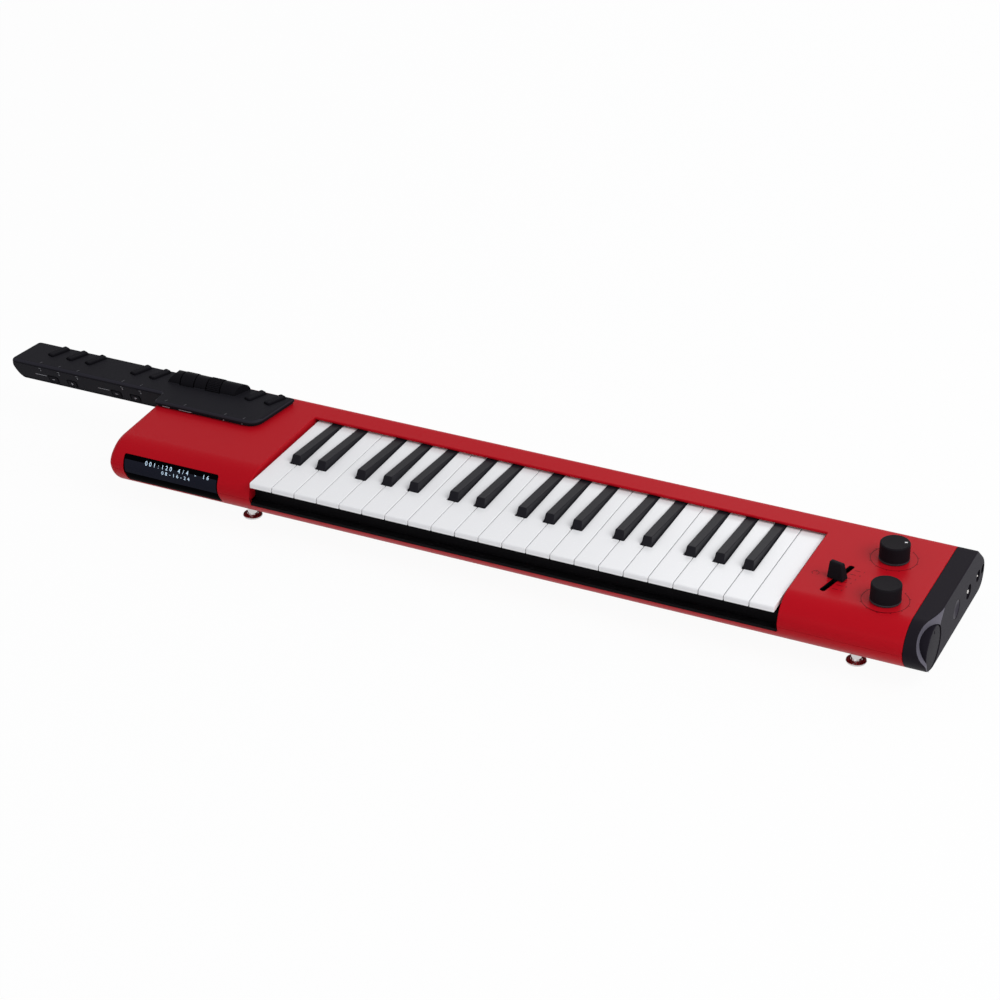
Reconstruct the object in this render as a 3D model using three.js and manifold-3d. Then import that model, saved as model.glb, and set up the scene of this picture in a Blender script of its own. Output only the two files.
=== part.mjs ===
// Keytar: a shoulder-worn keyboard with a short neck of controls at its left end.
// Millimetres. X runs along the keys from left to right, Y from the key fronts to the rear, Z up.
// While the pieces are made, X = 0 is the left side of the first white key, Y = 0 is the front of
// the keys and Z = 0 is the top of the white keys. The last lines stand the whole on Z = 0, centred.

import * as THREE from 'three';
import Module from 'manifold-3d';
import { mergeVertices } from 'three/addons/utils/BufferGeometryUtils.js';

const wasm = await Module();
wasm.setup();

// Clearances and wall thicknesses
const gap = 0.3;
const overrun = 6;
const wall = 2.3;
const ribWall = 1.6;

// Case outline, seen from the end
const caseTop = 4;
const caseBottom = -38;
const noseY = 1.6;
const noseZ = -13.6;
const topRollY = 24;
const underRollY = 28;
const rearEdgeY = 132.5;
const rearSlopeY = 149;
const rearSlopeZ = -10;
const rearY = 156;
const rearBulgeZ = -22;
const rearHeelY = 142;
const edgeRound = 1.2;
const seamZ = -17.4;

// Case lengths along X: the part left of the keys, the panel right of them, and the end cap
const caseLeft = -130.4;
const rightPanel = 95.9;
const capLength = 16.1;

// Keyboard
const whiteCount = 22;
const whitePitch = 19.7;
const whiteGap = 0.7;
const whiteVisible = 110.7;
const whiteLip = 4.6;
const keySkin = 1.5;
const keySideGap = 1.6;
const blackWidth = 8.8;
const blackTopWidth = 6.6;
const blackFrontY = 41.5;
const blackFrontLean = 2.8;
const blackRise = 6.5;
const blackRearRise = 1.2;
const blackSideGap = 0.6;
const pivotY = 121;
const pivotZ = -7.4;
const rodRadius = 1.8;
const hookLength = 5;
const keyBevel = 0.5;

// Places of the black keys within an octave, in white keys from the octave's first one
const octaveWhites = 7;
const blackPlaceShares = [0.911, 2.058, 3.835, 5, 6.166];

// Key chassis
const ledgeZ = -22;
const chassisThick = 2.4;
const chassisFrontY = 2.9;
const chassisRearY = 130;
const recessDepth = 8;
const recessWallTop = -9.4;

// Display window
const displayLeft = -116.5;
const displayRight = -30.9;
const displayTop = -3.7;
const displayBottom = -29;
const displayThick = 1.6;
const displayInset = 0.2;

// Neck
const neckTop = 9.3;
const neckEdge = 1.3;
const armTipX = -278.8;
const armTipSkew = 4.4;
const armTipUnder = 9;
const armFrontY = 87.5;
const armRearY = 124.5;
const armBottom = -12;
const armLean = 7.5;
const armHeel = 2.6;
const armRearHeel = 8;
const armSeamZ = -9.7;
const armLip = 3;
const plateFrontY = 72.5;
const plateRightFrontX = -33.5;
const plateRightRearX = -27.8;
const plateCorner = 13;
const plateLeftCorner = 2;

// Rollers and their hump on the neck
const humpY = 113.9;
const humpZ = 8;
const humpRadius = 8.6;
const humpLeft = -136;
const humpRamp = 5;
const humpRight = -70.4;
const pitchLeft = -125.4;
const modulationLeft = -100.9;
const rollerWidth = 13.8;
const rollerClear = 0.9;
const axleRadius = 2;
const axleReach = 3.2;
const ridgeCount = 36;
const ridgeDepth = 0.45;
const bearingDrop = 4;
const rollerProud = 0.2;

// Bar buttons across the neck
const barPitch = 18.2;
const barLength = 18.6;
const barWidth = 6.6;
const barCorner = 2.15;
const barRise = 1.7;
const barTilt = THREE.MathUtils.degToRad(21);
const barY = 113.8;
const barClear = 0.45;
const barPairs = { neck_bars_1_2: -238.5, neck_bars_4_5: -157.8, neck_bars_6_7: -49 };
const singleBarX = -211.2;
const barWell = 5.2;
const keeperThick = 1;
const keeperMargin = 1.8;
const keeperShort = 2.5;
const keeperGap = 0.9;

// Minus and plus buttons in the neck front
const faceButtonPitch = 18.3;
const faceButtonWidth = 8.6;
const faceButtonHeight = 6.6;
const faceButtonProud = 0.3;
const faceButtonZ = -5.2;
const facePairs = { transpose_rocker: -231.5, octave_rocker: -169.8 };

// Knobs on the right panel: how far left of the end cap's seam, and how far back
const knobPlaces = { rear_knob: [37.2, 95], front_knob: [25.1, 37.1] };
const knobRadius = 11.7;
const knobTaper = 0.3;
const knobHeight = 13.9;
const knobRound = 1.3;
const knobLift = 0.3;
const shaftRadius = 3;
const shaftReach = 7;
const shaftClear = 0.35;

// Slide lever on the right panel, with its slot's middle measured like the knobs
const slotFromSeam = 66.3;
const slotY = 51.1;
const slotLength = 43;
const slotWidth = 4.2;
const slotTilt = THREE.MathUtils.degToRad(13);
const leverWidth = 14;
const leverTopWidth = 10.8;
const leverThick = 8;
const leverTopThick = 4;
const leverHeight = 13.2;
const leverLift = 0.3;
const leverStem = 5;
const leverKeeper = 12;

// Volume dial and sockets in the end cap
const dialY = 26.6;
const dialZ = -19.8;
const dialRadius = 17;
const dialPocketRadius = 17.5;
const dialPocketDepth = 10;
const dialRecess = 1.4;
const dialThick = 7.2;
const dialShaftReach = 16;
const scoopTopY = 47;
const scoopDepth = 7.5;
const scoopSkew = 1.35;
const scoopEnd = THREE.MathUtils.degToRad(192);
const capBlockDepth = 15;
const capBlockY = 54;
const bigSocket = { y: 114.3, z: -21.7, radius: 5.8, bore: 3.2 };
const smallSocket = { y: 138.6, z: -21.4, radius: 4.6, bore: 1.8 };
const socketDepth = 6;
const dimpleY = 83;
const dimpleZ = -19.4;
const dimpleRadius = 8;
const dimpleDepth = 1.5;
const portWidth = 8.5;
const portLow = -17.5;
const portHigh = -11.5;
const portInset = 3;
const portDepth = 9;

// Strap pins and rear feet, which share the floor, out from both ends of the keys
const leftPinOut = 15.2;
const rightPinOut = 55.1;
const pinY = 28.5;
const pinRadius = 7.8;
const pinPostRadius = 4;
const pinHeight = 10;
const pinDisc = 3.2;
const leftFootOut = 80;
const rightFootOut = 66.6;
const footY = 128;
const footRadius = 8;

// Battery bay and its cover
const bayX = 160;
const bayY = 58;
const bayLength = 110;
const bayDepth = 48;
const coverThick = 1.6;
const coverLip = 3;

// Main board
const boardLength = 76;
const boardFromSeam = 5.3;
const boardFrontY = 19;
const boardRearY = 146;
const boardZ = -33;
const boardThick = 1.6;
const socketBody = 13;
const chipSize = 14;
const chipHeight = 2;
const postRadius = 3;

// Facets used for round shapes
const arcSteps = 7;
const roundSteps = 32;
const smallRoundSteps = 16;
const scoopSteps = 14;

// Colours of the mouldings
const red = 0xb5121f;
const black = 0x1b1a1c;
const keyWhite = 0xeeeeee;
const keyBlack = 0x26262a;
const metal = 0xc9c9cc;
const boardGreen = 0x1f5a34;

// Sizes worked out from the ones above
const keyRearY = pivotY + hookLength;
const keyboardWidth = whiteCount * whitePitch;
const capSeamX = keyboardWidth + rightPanel;
const caseRight = capSeamX + capLength;
const slotX = capSeamX - slotFromSeam;
const boardRight = capSeamX - boardFromSeam;
const boardLeft = boardRight - boardLength;
const openingLeft = -keySideGap;
const openingRight = keyboardWidth + keySideGap;
const caseRoof = caseTop - wall;
const caseFloor = caseBottom + wall;
const floorZ = caseBottom - pinHeight;
const chassisTop = ledgeZ + chassisThick;

// Turns a closed three.js geometry into a solid that can be cut and joined.
function solid(geometry) {
  const bare = geometry.clone();
  bare.deleteAttribute('normal');
  bare.deleteAttribute('uv');
  const merged = mergeVertices(bare);
  return new wasm.Manifold(new wasm.Mesh({
    numProp: 3,
    vertProperties: new Float32Array(merged.attributes.position.array),
    triVerts: new Uint32Array(merged.index.array),
  }));
}

// Turns a solid back into a three.js geometry.
function geometryOf(body) {
  const mesh = body.getMesh();
  const geometry = new THREE.BufferGeometry();
  geometry.setAttribute('position', new THREE.BufferAttribute(mesh.vertProperties.slice(), 3));
  geometry.setIndex(new THREE.BufferAttribute(mesh.triVerts.slice(), 1));
  geometry.computeVertexNormals();
  return geometry;
}

// A box between two corners.
function block(x0, x1, y0, y1, z0, z1) {
  const geometry = new THREE.BoxGeometry(x1 - x0, y1 - y0, z1 - z0);
  geometry.translate((x0 + x1) / 2, (y0 + y1) / 2, (z0 + z1) / 2);
  return solid(geometry);
}

// A shape drawn in Y and Z, extruded along X, with rounded ends if a round is given.
function prismX(shape, x0, x1, round = 0) {
  const geometry = new THREE.ExtrudeGeometry(shape, {
    depth: x1 - x0 - 2 * round,
    curveSegments: arcSteps,
    bevelEnabled: round > 0,
    bevelThickness: round,
    bevelSize: round,
    bevelOffset: -round,
    bevelSegments: 2,
  });
  geometry.translate(0, 0, x0 + round);
  geometry.applyMatrix4(new THREE.Matrix4().makeBasis(
    new THREE.Vector3(0, 1, 0), new THREE.Vector3(0, 0, 1), new THREE.Vector3(1, 0, 0)));
  return solid(geometry);
}

// A shape drawn in X and Z, extruded along Y.
function prismY(shape, y0, y1) {
  const geometry = new THREE.ExtrudeGeometry(shape, { depth: y1 - y0, curveSegments: arcSteps, bevelEnabled: false });
  geometry.rotateX(Math.PI / 2);
  geometry.translate(0, y1, 0);
  return solid(geometry);
}

// A shape drawn in X and Y, extruded along Z, with a rounded top and bottom if a round is given.
function prismZ(shape, z0, z1, round = 0) {
  const geometry = new THREE.ExtrudeGeometry(shape, {
    depth: z1 - z0 - 2 * round,
    curveSegments: arcSteps,
    bevelEnabled: round > 0,
    bevelThickness: round,
    bevelSize: round,
    bevelOffset: -round,
    bevelSegments: 2,
  });
  geometry.translate(0, 0, z0 + round);
  return solid(geometry);
}

// A round bar along Z or along X.
function barAlongZ(radius, x, y, z0, z1, steps = smallRoundSteps) {
  const geometry = new THREE.CylinderGeometry(radius, radius, z1 - z0, steps);
  geometry.rotateX(Math.PI / 2);
  geometry.translate(x, y, (z0 + z1) / 2);
  return solid(geometry);
}

function barAlongX(radius, x0, x1, y, z, steps = smallRoundSteps) {
  const geometry = new THREE.CylinderGeometry(radius, radius, x1 - x0, steps);
  geometry.rotateZ(Math.PI / 2);
  geometry.translate((x0 + x1) / 2, y, z);
  return solid(geometry);
}

// A turned solid from radius and height pairs, along Z.
function turned(profile, steps = roundSteps) {
  const geometry = new THREE.LatheGeometry(profile.map(([r, h]) => new THREE.Vector2(r, h)), steps);
  geometry.rotateX(Math.PI / 2);
  return solid(geometry);
}

function polygon(points) {
  return new THREE.Shape(points.map(([u, v]) => new THREE.Vector2(u, v)));
}

// A rectangle with round corners, centred on a point and turned.
function roundedPlan(length, width, corner, centreX, centreY, turn) {
  const points = [];
  const cornerTurns = [[1, 1, 0], [-1, 1, 1], [-1, -1, 2], [1, -1, 3]];
  for (const [sideX, sideY, quarter] of cornerTurns) {
    for (let step = 0; step <= 3; step += 1) {
      const angle = (quarter + step / 3) * Math.PI / 2;
      const u = sideX * (width / 2 - corner) + corner * Math.cos(angle);
      const v = sideY * (length / 2 - corner) + corner * Math.sin(angle);
      points.push([
        centreX + u * Math.cos(turn) - v * Math.sin(turn),
        centreY + u * Math.sin(turn) + v * Math.cos(turn),
      ]);
    }
  }
  return polygon(points);
}

const group = new THREE.Group();

// Adds a piece to the model under its name, with its own material.
function addPiece(name, body, look, place = [0, 0, 0], parent = group) {
  const [color, roughness, metalness] = look;
  const geometry = body instanceof THREE.BufferGeometry ? body : geometryOf(body);
  const piece = new THREE.Mesh(geometry, new THREE.MeshStandardMaterial({ color, roughness, metalness }));
  piece.name = name;
  piece.position.set(...place);
  parent.add(piece);
  return piece;
}

const satinRed = [red, 0.38, 0];
const satinBlack = [black, 0.5, 0];
const glossBlack = [0x050507, 0.08, 0];
const whitePlastic = [keyWhite, 0.3, 0];
const darkPlastic = [keyBlack, 0.6, 0];
const polishedMetal = [metal, 0.15, 1];
const rubberBlack = [0x161616, 0.8, 0];

// Case section

// The case outline in Y and Z: a round nose at the front, a flat top and bottom, a sloped rear.
function caseOutline(inset) {
  const top = caseTop - inset;
  const bottom = caseBottom + inset;
  const front = noseY + inset;
  const shape = new THREE.Shape();
  shape.moveTo(rearEdgeY, top);
  shape.lineTo(topRollY, top);
  shape.absellipse(topRollY, noseZ, topRollY - front, top - noseZ, Math.PI / 2, Math.PI, false);
  shape.absellipse(underRollY, noseZ, underRollY - front, noseZ - bottom, Math.PI, Math.PI * 3 / 2, false);
  shape.lineTo(rearHeelY, bottom);
  shape.quadraticCurveTo(rearY - inset, bottom, rearY - inset, rearBulgeZ);
  shape.quadraticCurveTo(rearY - inset, (rearBulgeZ + rearSlopeZ) / 2, rearSlopeY - inset, rearSlopeZ);
  shape.lineTo(rearEdgeY, top);
  return shape;
}

const outerCase = prismX(caseOutline(0), caseLeft, caseRight, edgeRound);

function innerCase(x0, x1) {
  return prismX(caseOutline(wall), x0, x1);
}

// Where the neck's rollers and wires go down into the case
const neckPort = block(caseLeft - overrun, humpRight + wall, humpY - humpRadius - gap * 3,
  humpY + humpRadius + gap * 3, humpZ - humpRadius - wall, caseTop + overrun);

// Knob and lever openings in the right panel
function tiltedSlot(length, width, z0, z1) {
  return prismZ(roundedPlan(length, width, width / 2 - gap / 2, slotX, slotY, -slotTilt), z0, z1);
}

function displayOpening(clearance) {
  return block(displayLeft - clearance, displayRight + clearance, noseY - overrun,
    topRollY, displayBottom - clearance, displayTop + clearance);
}

function upperCase() {
  const hollows = [
    innerCase(caseLeft + wall, openingLeft - wall),
    innerCase(openingLeft, openingRight),
    innerCase(openingRight + wall, capSeamX + overrun),
  ];
  let shell = outerCase;
  for (const hollow of hollows) {
    shell = shell.subtract(hollow);
  }
  shell = shell.intersect(block(caseLeft - overrun, capSeamX, noseY - overrun, rearY + overrun,
    seamZ, caseTop + overrun));
  shell = shell.subtract(block(openingLeft, openingRight, noseY - overrun, whiteVisible,
    seamZ - overrun, caseTop + overrun));
  shell = shell.subtract(displayOpening(gap));
  shell = shell.subtract(neckPort);
  for (const [fromSeam, y] of Object.values(knobPlaces)) {
    shell = shell.subtract(barAlongZ(shaftRadius + shaftClear, capSeamX - fromSeam, y, caseRoof - overrun,
      caseTop + overrun));
  }
  return shell.subtract(tiltedSlot(slotLength, slotWidth, caseRoof - overrun, caseTop + overrun));
}

function lowerCase() {
  const seam = seamZ - gap;
  let shell = outerCase.subtract(innerCase(caseLeft + wall, capSeamX + overrun));
  shell = shell.intersect(block(caseLeft - overrun, capSeamX, noseY - overrun, rearY + overrun,
    caseBottom - overrun, seam));
  shell = shell.subtract(block(openingLeft, openingRight, noseY - overrun, underRollY,
    ledgeZ - gap, seam + overrun));
  shell = shell.subtract(displayOpening(gap));

  // Battery bay walls, joined to the floor
  const bayTop = ledgeZ - gap;
  const bayWalls = block(bayX - ribWall, bayX + bayLength + ribWall, bayY - ribWall, bayY + bayDepth + ribWall,
    caseFloor - wall / 2, bayTop);
  const bay = block(bayX, bayX + bayLength, bayY, bayY + bayDepth, caseBottom - overrun, bayTop + overrun);
  shell = shell.add(bayWalls).subtract(bay);
  const rebate = block(bayX - coverLip, bayX + bayLength + coverLip, bayY - coverLip, bayY + bayDepth + coverLip,
    caseBottom - overrun, caseBottom + coverThick / 2);
  shell = shell.subtract(rebate);

  // Posts under the key chassis and the main board
  for (const share of [0.1, 0.5, 0.9]) {
    const x = keyboardWidth * share;
    shell = shell.add(barAlongZ(postRadius, x, chassisRearY - postRadius * 2, caseFloor - wall / 2, ledgeZ - gap));
  }
  for (const x of [boardLeft + postRadius, boardRight - postRadius]) {
    for (const y of [boardFrontY + postRadius * 4, boardRearY - postRadius * 2]) {
      shell = shell.add(barAlongZ(postRadius, x, y, caseFloor - wall / 2, boardZ - gap));
    }
  }

  // Rear feet at the height of the strap pins
  for (const x of [-leftFootOut, keyboardWidth + rightFootOut]) {
    shell = shell.add(barAlongZ(footRadius, x, footY, floorZ, caseBottom + wall / 2, roundSteps));
  }
  return shell;
}

addPiece('upper_case', upperCase(), satinRed);
addPiece('lower_case', lowerCase(), satinRed);

function batteryCover() {
  const inner = block(bayX + gap, bayX + bayLength - gap, bayY + gap, bayY + bayDepth - gap,
    caseBottom, caseBottom + coverThick);
  const lip = coverLip - gap;
  const outer = block(bayX - lip, bayX + bayLength + lip, bayY - lip, bayY + bayDepth + lip,
    caseBottom, caseBottom + coverThick / 2 - gap);
  return inner.add(outer);
}

addPiece('battery_cover', batteryCover(), satinRed);

// Display window

function displayWindow() {
  const outer = prismX(caseOutline(displayInset), displayLeft, displayRight);
  const inner = prismX(caseOutline(displayInset + displayThick), displayLeft - overrun, displayRight + overrun);
  return outer.subtract(inner).intersect(displayOpening(0));
}

addPiece('display_window', displayWindow(), glossBlack);

// End cap with its scoop, dial pocket and sockets

const bareCap = outerCase.intersect(block(capSeamX + gap, caseRight + overrun, noseY - overrun, rearY + overrun,
  caseBottom - overrun, caseTop + overrun));

// The scoop beside the dial: its floor is level along each line out of the dial's axis. It starts at the
// top edge of the end face, gets deeper round the front of the dial and comes up again below it.
function scoopCutter() {
  const start = Math.atan2(caseTop - dialZ, scoopTopY - dialY);
  const inner = dialPocketRadius / 2;
  const outer = rearY - noseY;
  const top = caseRight + overrun;
  const positions = [];
  for (let step = 0; step <= scoopSteps; step += 1) {
    const share = step / scoopSteps;
    const angle = start + (scoopEnd - start) * share;
    const floor = caseRight - scoopDepth * Math.sin(Math.PI * share ** scoopSkew);
    for (const [radius, x] of [[inner, floor], [outer, floor], [outer, top], [inner, top]]) {
      positions.push(x, dialY + radius * Math.cos(angle), dialZ + radius * Math.sin(angle));
    }
  }
  const faces = [];
  const addQuad = (a, b, c, d) => faces.push(a, b, c, a, c, d);
  for (let step = 0; step < scoopSteps; step += 1) {
    const near = step * 4;
    const far = near + 4;
    addQuad(near, far, far + 1, near + 1);
    addQuad(near + 1, far + 1, far + 2, near + 2);
    addQuad(near + 2, far + 2, far + 3, near + 3);
    addQuad(near + 3, far + 3, far, near);
  }
  const last = scoopSteps * 4;
  addQuad(0, 1, 2, 3);
  addQuad(last + 3, last + 2, last + 1, last);
  const geometry = new THREE.BufferGeometry();
  geometry.setAttribute('position', new THREE.Float32BufferAttribute(positions, 3));
  geometry.setIndex(faces);
  return solid(geometry);
}

function socketHole(socket) {
  return barAlongX(socket.radius, caseRight - socketDepth, caseRight + overrun, socket.y, socket.z, roundSteps);
}

// The shallow bowl that is sunk in the end face.
function dimpleCutter() {
  const geometry = new THREE.LatheGeometry([
    [0, -dimpleDepth], [dimpleRadius * 0.5, -dimpleDepth * 0.77], [dimpleRadius * 0.8, -dimpleDepth * 0.4],
    [dimpleRadius, 0], [dimpleRadius, overrun], [0, overrun],
  ].map(([r, h]) => new THREE.Vector2(r, h)), roundSteps);
  geometry.rotateZ(-Math.PI / 2);
  geometry.translate(caseRight, dimpleY, dimpleZ);
  return solid(geometry);
}

function endCap() {
  const hollow = innerCase(capSeamX - overrun, caseRight - wall).subtract(
    block(caseRight - capBlockDepth, caseRight, noseY, capBlockY, caseBottom, caseTop));
  let cap = bareCap.subtract(hollow);
  for (const socket of [bigSocket, smallSocket]) {
    cap = cap.add(barAlongX(socket.radius + ribWall, caseRight - socketDepth, caseRight - wall / 2,
      socket.y, socket.z, roundSteps));
    cap = cap.subtract(socketHole(socket));
  }
  cap = cap.subtract(scoopCutter());
  cap = cap.subtract(barAlongX(dialPocketRadius, caseRight - dialPocketDepth, caseRight + overrun,
    dialY, dialZ, roundSteps));
  cap = cap.subtract(barAlongX(shaftRadius + shaftClear, caseRight - capBlockDepth - overrun, caseRight,
    dialY, dialZ));
  cap = cap.subtract(dimpleCutter());
  return cap.subtract(block(caseRight - portInset - portWidth, caseRight - portInset, rearY - portDepth,
    rearY + overrun, portLow, portHigh));
}

addPiece('end_cap', endCap(), satinBlack);

// The dial turns about X in its pocket; its rim stands out over the scoop.
function volumeDial() {
  const face = caseRight - dialRecess;
  const disc = turned([
    [0, 0], [dialRadius - keyBevel, 0], [dialRadius, keyBevel], [dialRadius, dialThick - keyBevel],
    [dialRadius - keyBevel, dialThick], [0, dialThick],
  ]);
  const shaft = barAlongZ(shaftRadius, 0, 0, -dialShaftReach, dialThick / 2);
  const notch = block(-ribWall / 2, ribWall / 2, dialRadius * 0.72, dialRadius * 0.9, dialThick - keyBevel,
    dialThick + overrun);
  const body = geometryOf(disc.add(shaft).subtract(notch));
  body.applyMatrix4(new THREE.Matrix4().makeBasis(
    new THREE.Vector3(0, 1, 0), new THREE.Vector3(0, 0, 1), new THREE.Vector3(1, 0, 0)));
  addPiece('volume_dial', body, satinBlack, [face - dialThick, dialY, dialZ]);
}

volumeDial();

// Knobs

function knobBody() {
  const top = knobHeight;
  const topRadius = knobRadius - knobTaper;
  const profile = [[0, 0], [knobRadius - keyBevel, 0], [knobRadius, keyBevel]];
  for (let step = 0; step <= 3; step += 1) {
    const angle = step / 3 * Math.PI / 2;
    profile.push([topRadius - knobRound + knobRound * Math.cos(angle), top - knobRound + knobRound * Math.sin(angle)]);
  }
  profile.push([0, top]);
  const shaft = barAlongZ(shaftRadius, 0, 0, -shaftReach, knobHeight / 2);
  return turned(profile).add(shaft);
}

for (const [name, [fromSeam, y]] of Object.entries(knobPlaces)) {
  addPiece(name, knobBody(), rubberBlack, [capSeamX - fromSeam, y, caseTop + knobLift]);
}

// Slide lever: a tapered paddle on a stem through the slot, with a keeper under the panel

function modeLever() {
  const side = polygon([
    [-leverWidth / 2, 0], [leverWidth / 2, 0], [leverTopWidth / 2, leverHeight], [-leverTopWidth / 2, leverHeight],
  ]);
  const edge = [
    [-leverThick / 2, 0], [leverThick / 2, 0], [leverTopThick / 2, leverHeight - keyBevel],
    [leverTopThick / 2 - keyBevel, leverHeight], [keyBevel - leverTopThick / 2, leverHeight],
    [-leverTopThick / 2, leverHeight - keyBevel],
  ];
  const paddle = prismY(side, -leverThick, leverThick).intersect(prismX(polygon(edge), -leverWidth, leverWidth));
  const stemDrop = leverLift + wall + gap;
  const stem = block(-slotWidth / 2 + gap, slotWidth / 2 - gap, -leverStem / 2, leverStem / 2,
    -stemDrop - keeperThick / 2, leverLift);
  const keeper = block(-leverWidth / 2, leverWidth / 2, -leverKeeper / 2, leverKeeper / 2,
    -stemDrop - keeperThick, -stemDrop);
  const lever = addPiece('mode_lever', paddle.add(stem).add(keeper), rubberBlack);
  lever.rotation.z = -slotTilt;
  lever.position.set(slotX, slotY, caseTop + leverLift);
}

modeLever();

// Strap pins: a post and a wide flat head below the case

function strapPin() {
  return turned([
    [0, 0], [pinRadius - keyBevel, 0], [pinRadius, keyBevel], [pinRadius, pinDisc - keyBevel * 2],
    [pinRadius - keyBevel * 2, pinDisc], [pinPostRadius, pinDisc + keyBevel], [pinPostRadius, pinHeight - gap],
    [0, pinHeight - gap],
  ]);
}

addPiece('strap_pin_left', strapPin(), polishedMetal, [-leftPinOut, pinY, floorZ]);
addPiece('strap_pin_right', strapPin(), polishedMetal, [keyboardWidth + rightPinOut, pinY, floorZ]);

// Keys

// Horizontal outline of white key number n, with notches beside the black keys.
function whiteNotches(n) {
  const place = n % octaveWhites;
  const left = place * whitePitch;
  const half = blackWidth / 2 + blackSideGap;
  let leftCut = 0;
  let rightCut = 0;
  for (const share of blackPlaceShares) {
    const middle = share * whitePitch;
    if (n < whiteCount - 1 && middle > left + whitePitch / 2 && middle < left + whitePitch * 1.5) {
      rightCut = Math.max(rightCut, left + whitePitch - whiteGap / 2 - (middle - half));
    }
    if (middle > left - whitePitch / 2 && middle < left + whitePitch / 2) {
      leftCut = Math.max(leftCut, middle + half - left - whiteGap / 2);
    }
  }
  return { leftCut, rightCut };
}

// The hook under the rear of a key, open below, that hangs on the chassis rod.
function keyHook(x0, x1, top) {
  const reach = rodRadius + gap;
  const hook = block(x0, x1, pivotY - hookLength, keyRearY, pivotZ - rodRadius / 2, top);
  const slot = barAlongX(reach, x0 - overrun, x1 + overrun, pivotY, pivotZ).add(
    block(x0 - overrun, x1 + overrun, pivotY - reach, pivotY + reach, pivotZ - overrun, pivotZ));
  return { hook, slot };
}

function whiteKey(n) {
  const { leftCut, rightCut } = whiteNotches(n);
  const x0 = whiteGap / 2;
  const x1 = whitePitch - whiteGap / 2;
  const notchY = blackFrontY - blackSideGap;
  const slab = prismZ(polygon([
    [x0, 0], [x1, 0], [x1, notchY], [x1 - rightCut, notchY], [x1 - rightCut, keyRearY],
    [x0 + leftCut, keyRearY], [x0 + leftCut, notchY], [x0, notchY],
  ].filter(([x, y], index, list) => {
    const [px, py] = list[(index + list.length - 1) % list.length];
    return Math.hypot(x - px, y - py) > keyBevel / 10;
  })), -whiteLip, 0);
  const frontPocket = block(x0 + keySkin, x1 - keySkin, keySkin, notchY - keySkin, -whiteLip - overrun, -keySkin);
  const rearPocket = block(x0 + leftCut + keySkin, x1 - rightCut - keySkin, notchY - keySkin * 2,
    pivotY - hookLength, -whiteLip - overrun, -keySkin);
  const { hook, slot } = keyHook(x0 + leftCut, x1 - rightCut, -keySkin / 2);
  const frontEdge = new THREE.BoxGeometry(whitePitch * 2, keyBevel * 2, keyBevel * 2);
  frontEdge.rotateX(Math.PI / 4);
  return slab.subtract(frontPocket.add(rearPocket)).add(hook).subtract(slot).subtract(solid(frontEdge));
}

for (let n = 0; n < whiteCount; n += 1) {
  const name = `white_key_${String(n + 1).padStart(2, '0')}`;
  addPiece(name, whiteKey(n), whitePlastic, [n * whitePitch, 0, 0]);
}

// A black key: a ridge that leans in on all sides and falls towards the rear.
function blackKey() {
  const half = blackWidth / 2;
  const topHalf = blackTopWidth / 2;
  const slope = (blackRise - blackRearRise) / (whiteVisible - blackFrontY - blackFrontLean);
  const rearRise = blackRearRise - slope * (keyRearY - whiteVisible);
  const section = polygon([
    [-half, -whiteLip], [half, -whiteLip], [half, 0], [topHalf + keyBevel, blackRise - keyBevel],
    [topHalf, blackRise], [-topHalf, blackRise], [-topHalf - keyBevel, blackRise - keyBevel], [-half, 0],
  ]);
  const side = polygon([
    [blackFrontY, -whiteLip], [keyRearY, -whiteLip], [keyRearY, rearRise],
    [blackFrontY + blackFrontLean + keyBevel, blackRise], [blackFrontY + blackFrontLean, blackRise - keyBevel],
    [blackFrontY + keyBevel * 2, keyBevel * 2], [blackFrontY, 0],
  ]);
  const ridge = prismY(section, blackFrontY - overrun, keyRearY + overrun).intersect(prismX(side, -half * 2, half * 2));
  const pocket = block(-half + keySkin, half - keySkin, blackFrontY + keySkin, pivotY - hookLength,
    -whiteLip - overrun, -keySkin);
  const { hook, slot } = keyHook(-half, half, -keySkin / 2);
  return ridge.subtract(pocket).add(hook).subtract(slot);
}

const blackBody = blackKey();
let blackNumber = 0;
for (let octave = 0; octave * octaveWhites < whiteCount - 1; octave += 1) {
  for (const share of blackPlaceShares) {
    const x = (octave * octaveWhites + share) * whitePitch;
    if (x < keyboardWidth - whitePitch) {
      blackNumber += 1;
      const name = `black_key_${String(blackNumber).padStart(2, '0')}`;
      addPiece(name, blackBody, darkPlastic, [x, 0, 0]);
    }
  }
}

// Key chassis: a plate whose front edge shows under the keys, a wall and the hinge rod

function keyChassis() {
  const x0 = openingLeft + gap;
  const x1 = openingRight - gap;
  const plate = block(x0, x1, chassisFrontY, chassisRearY, ledgeZ, chassisTop);
  const frontWall = block(x0, x1, chassisFrontY + recessDepth, chassisFrontY + recessDepth + ribWall,
    chassisTop - ribWall, recessWallTop);
  const web = block(x0, x1, pivotY - ribWall / 2, pivotY + ribWall / 2, chassisTop - ribWall, pivotZ);
  const rod = barAlongX(rodRadius, x0, x1, pivotY, pivotZ);
  return plate.add(frontWall).add(web).add(rod);
}

addPiece('key_chassis', keyChassis(), satinBlack);

// Main board with the sockets, the volume control and a few components

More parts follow.
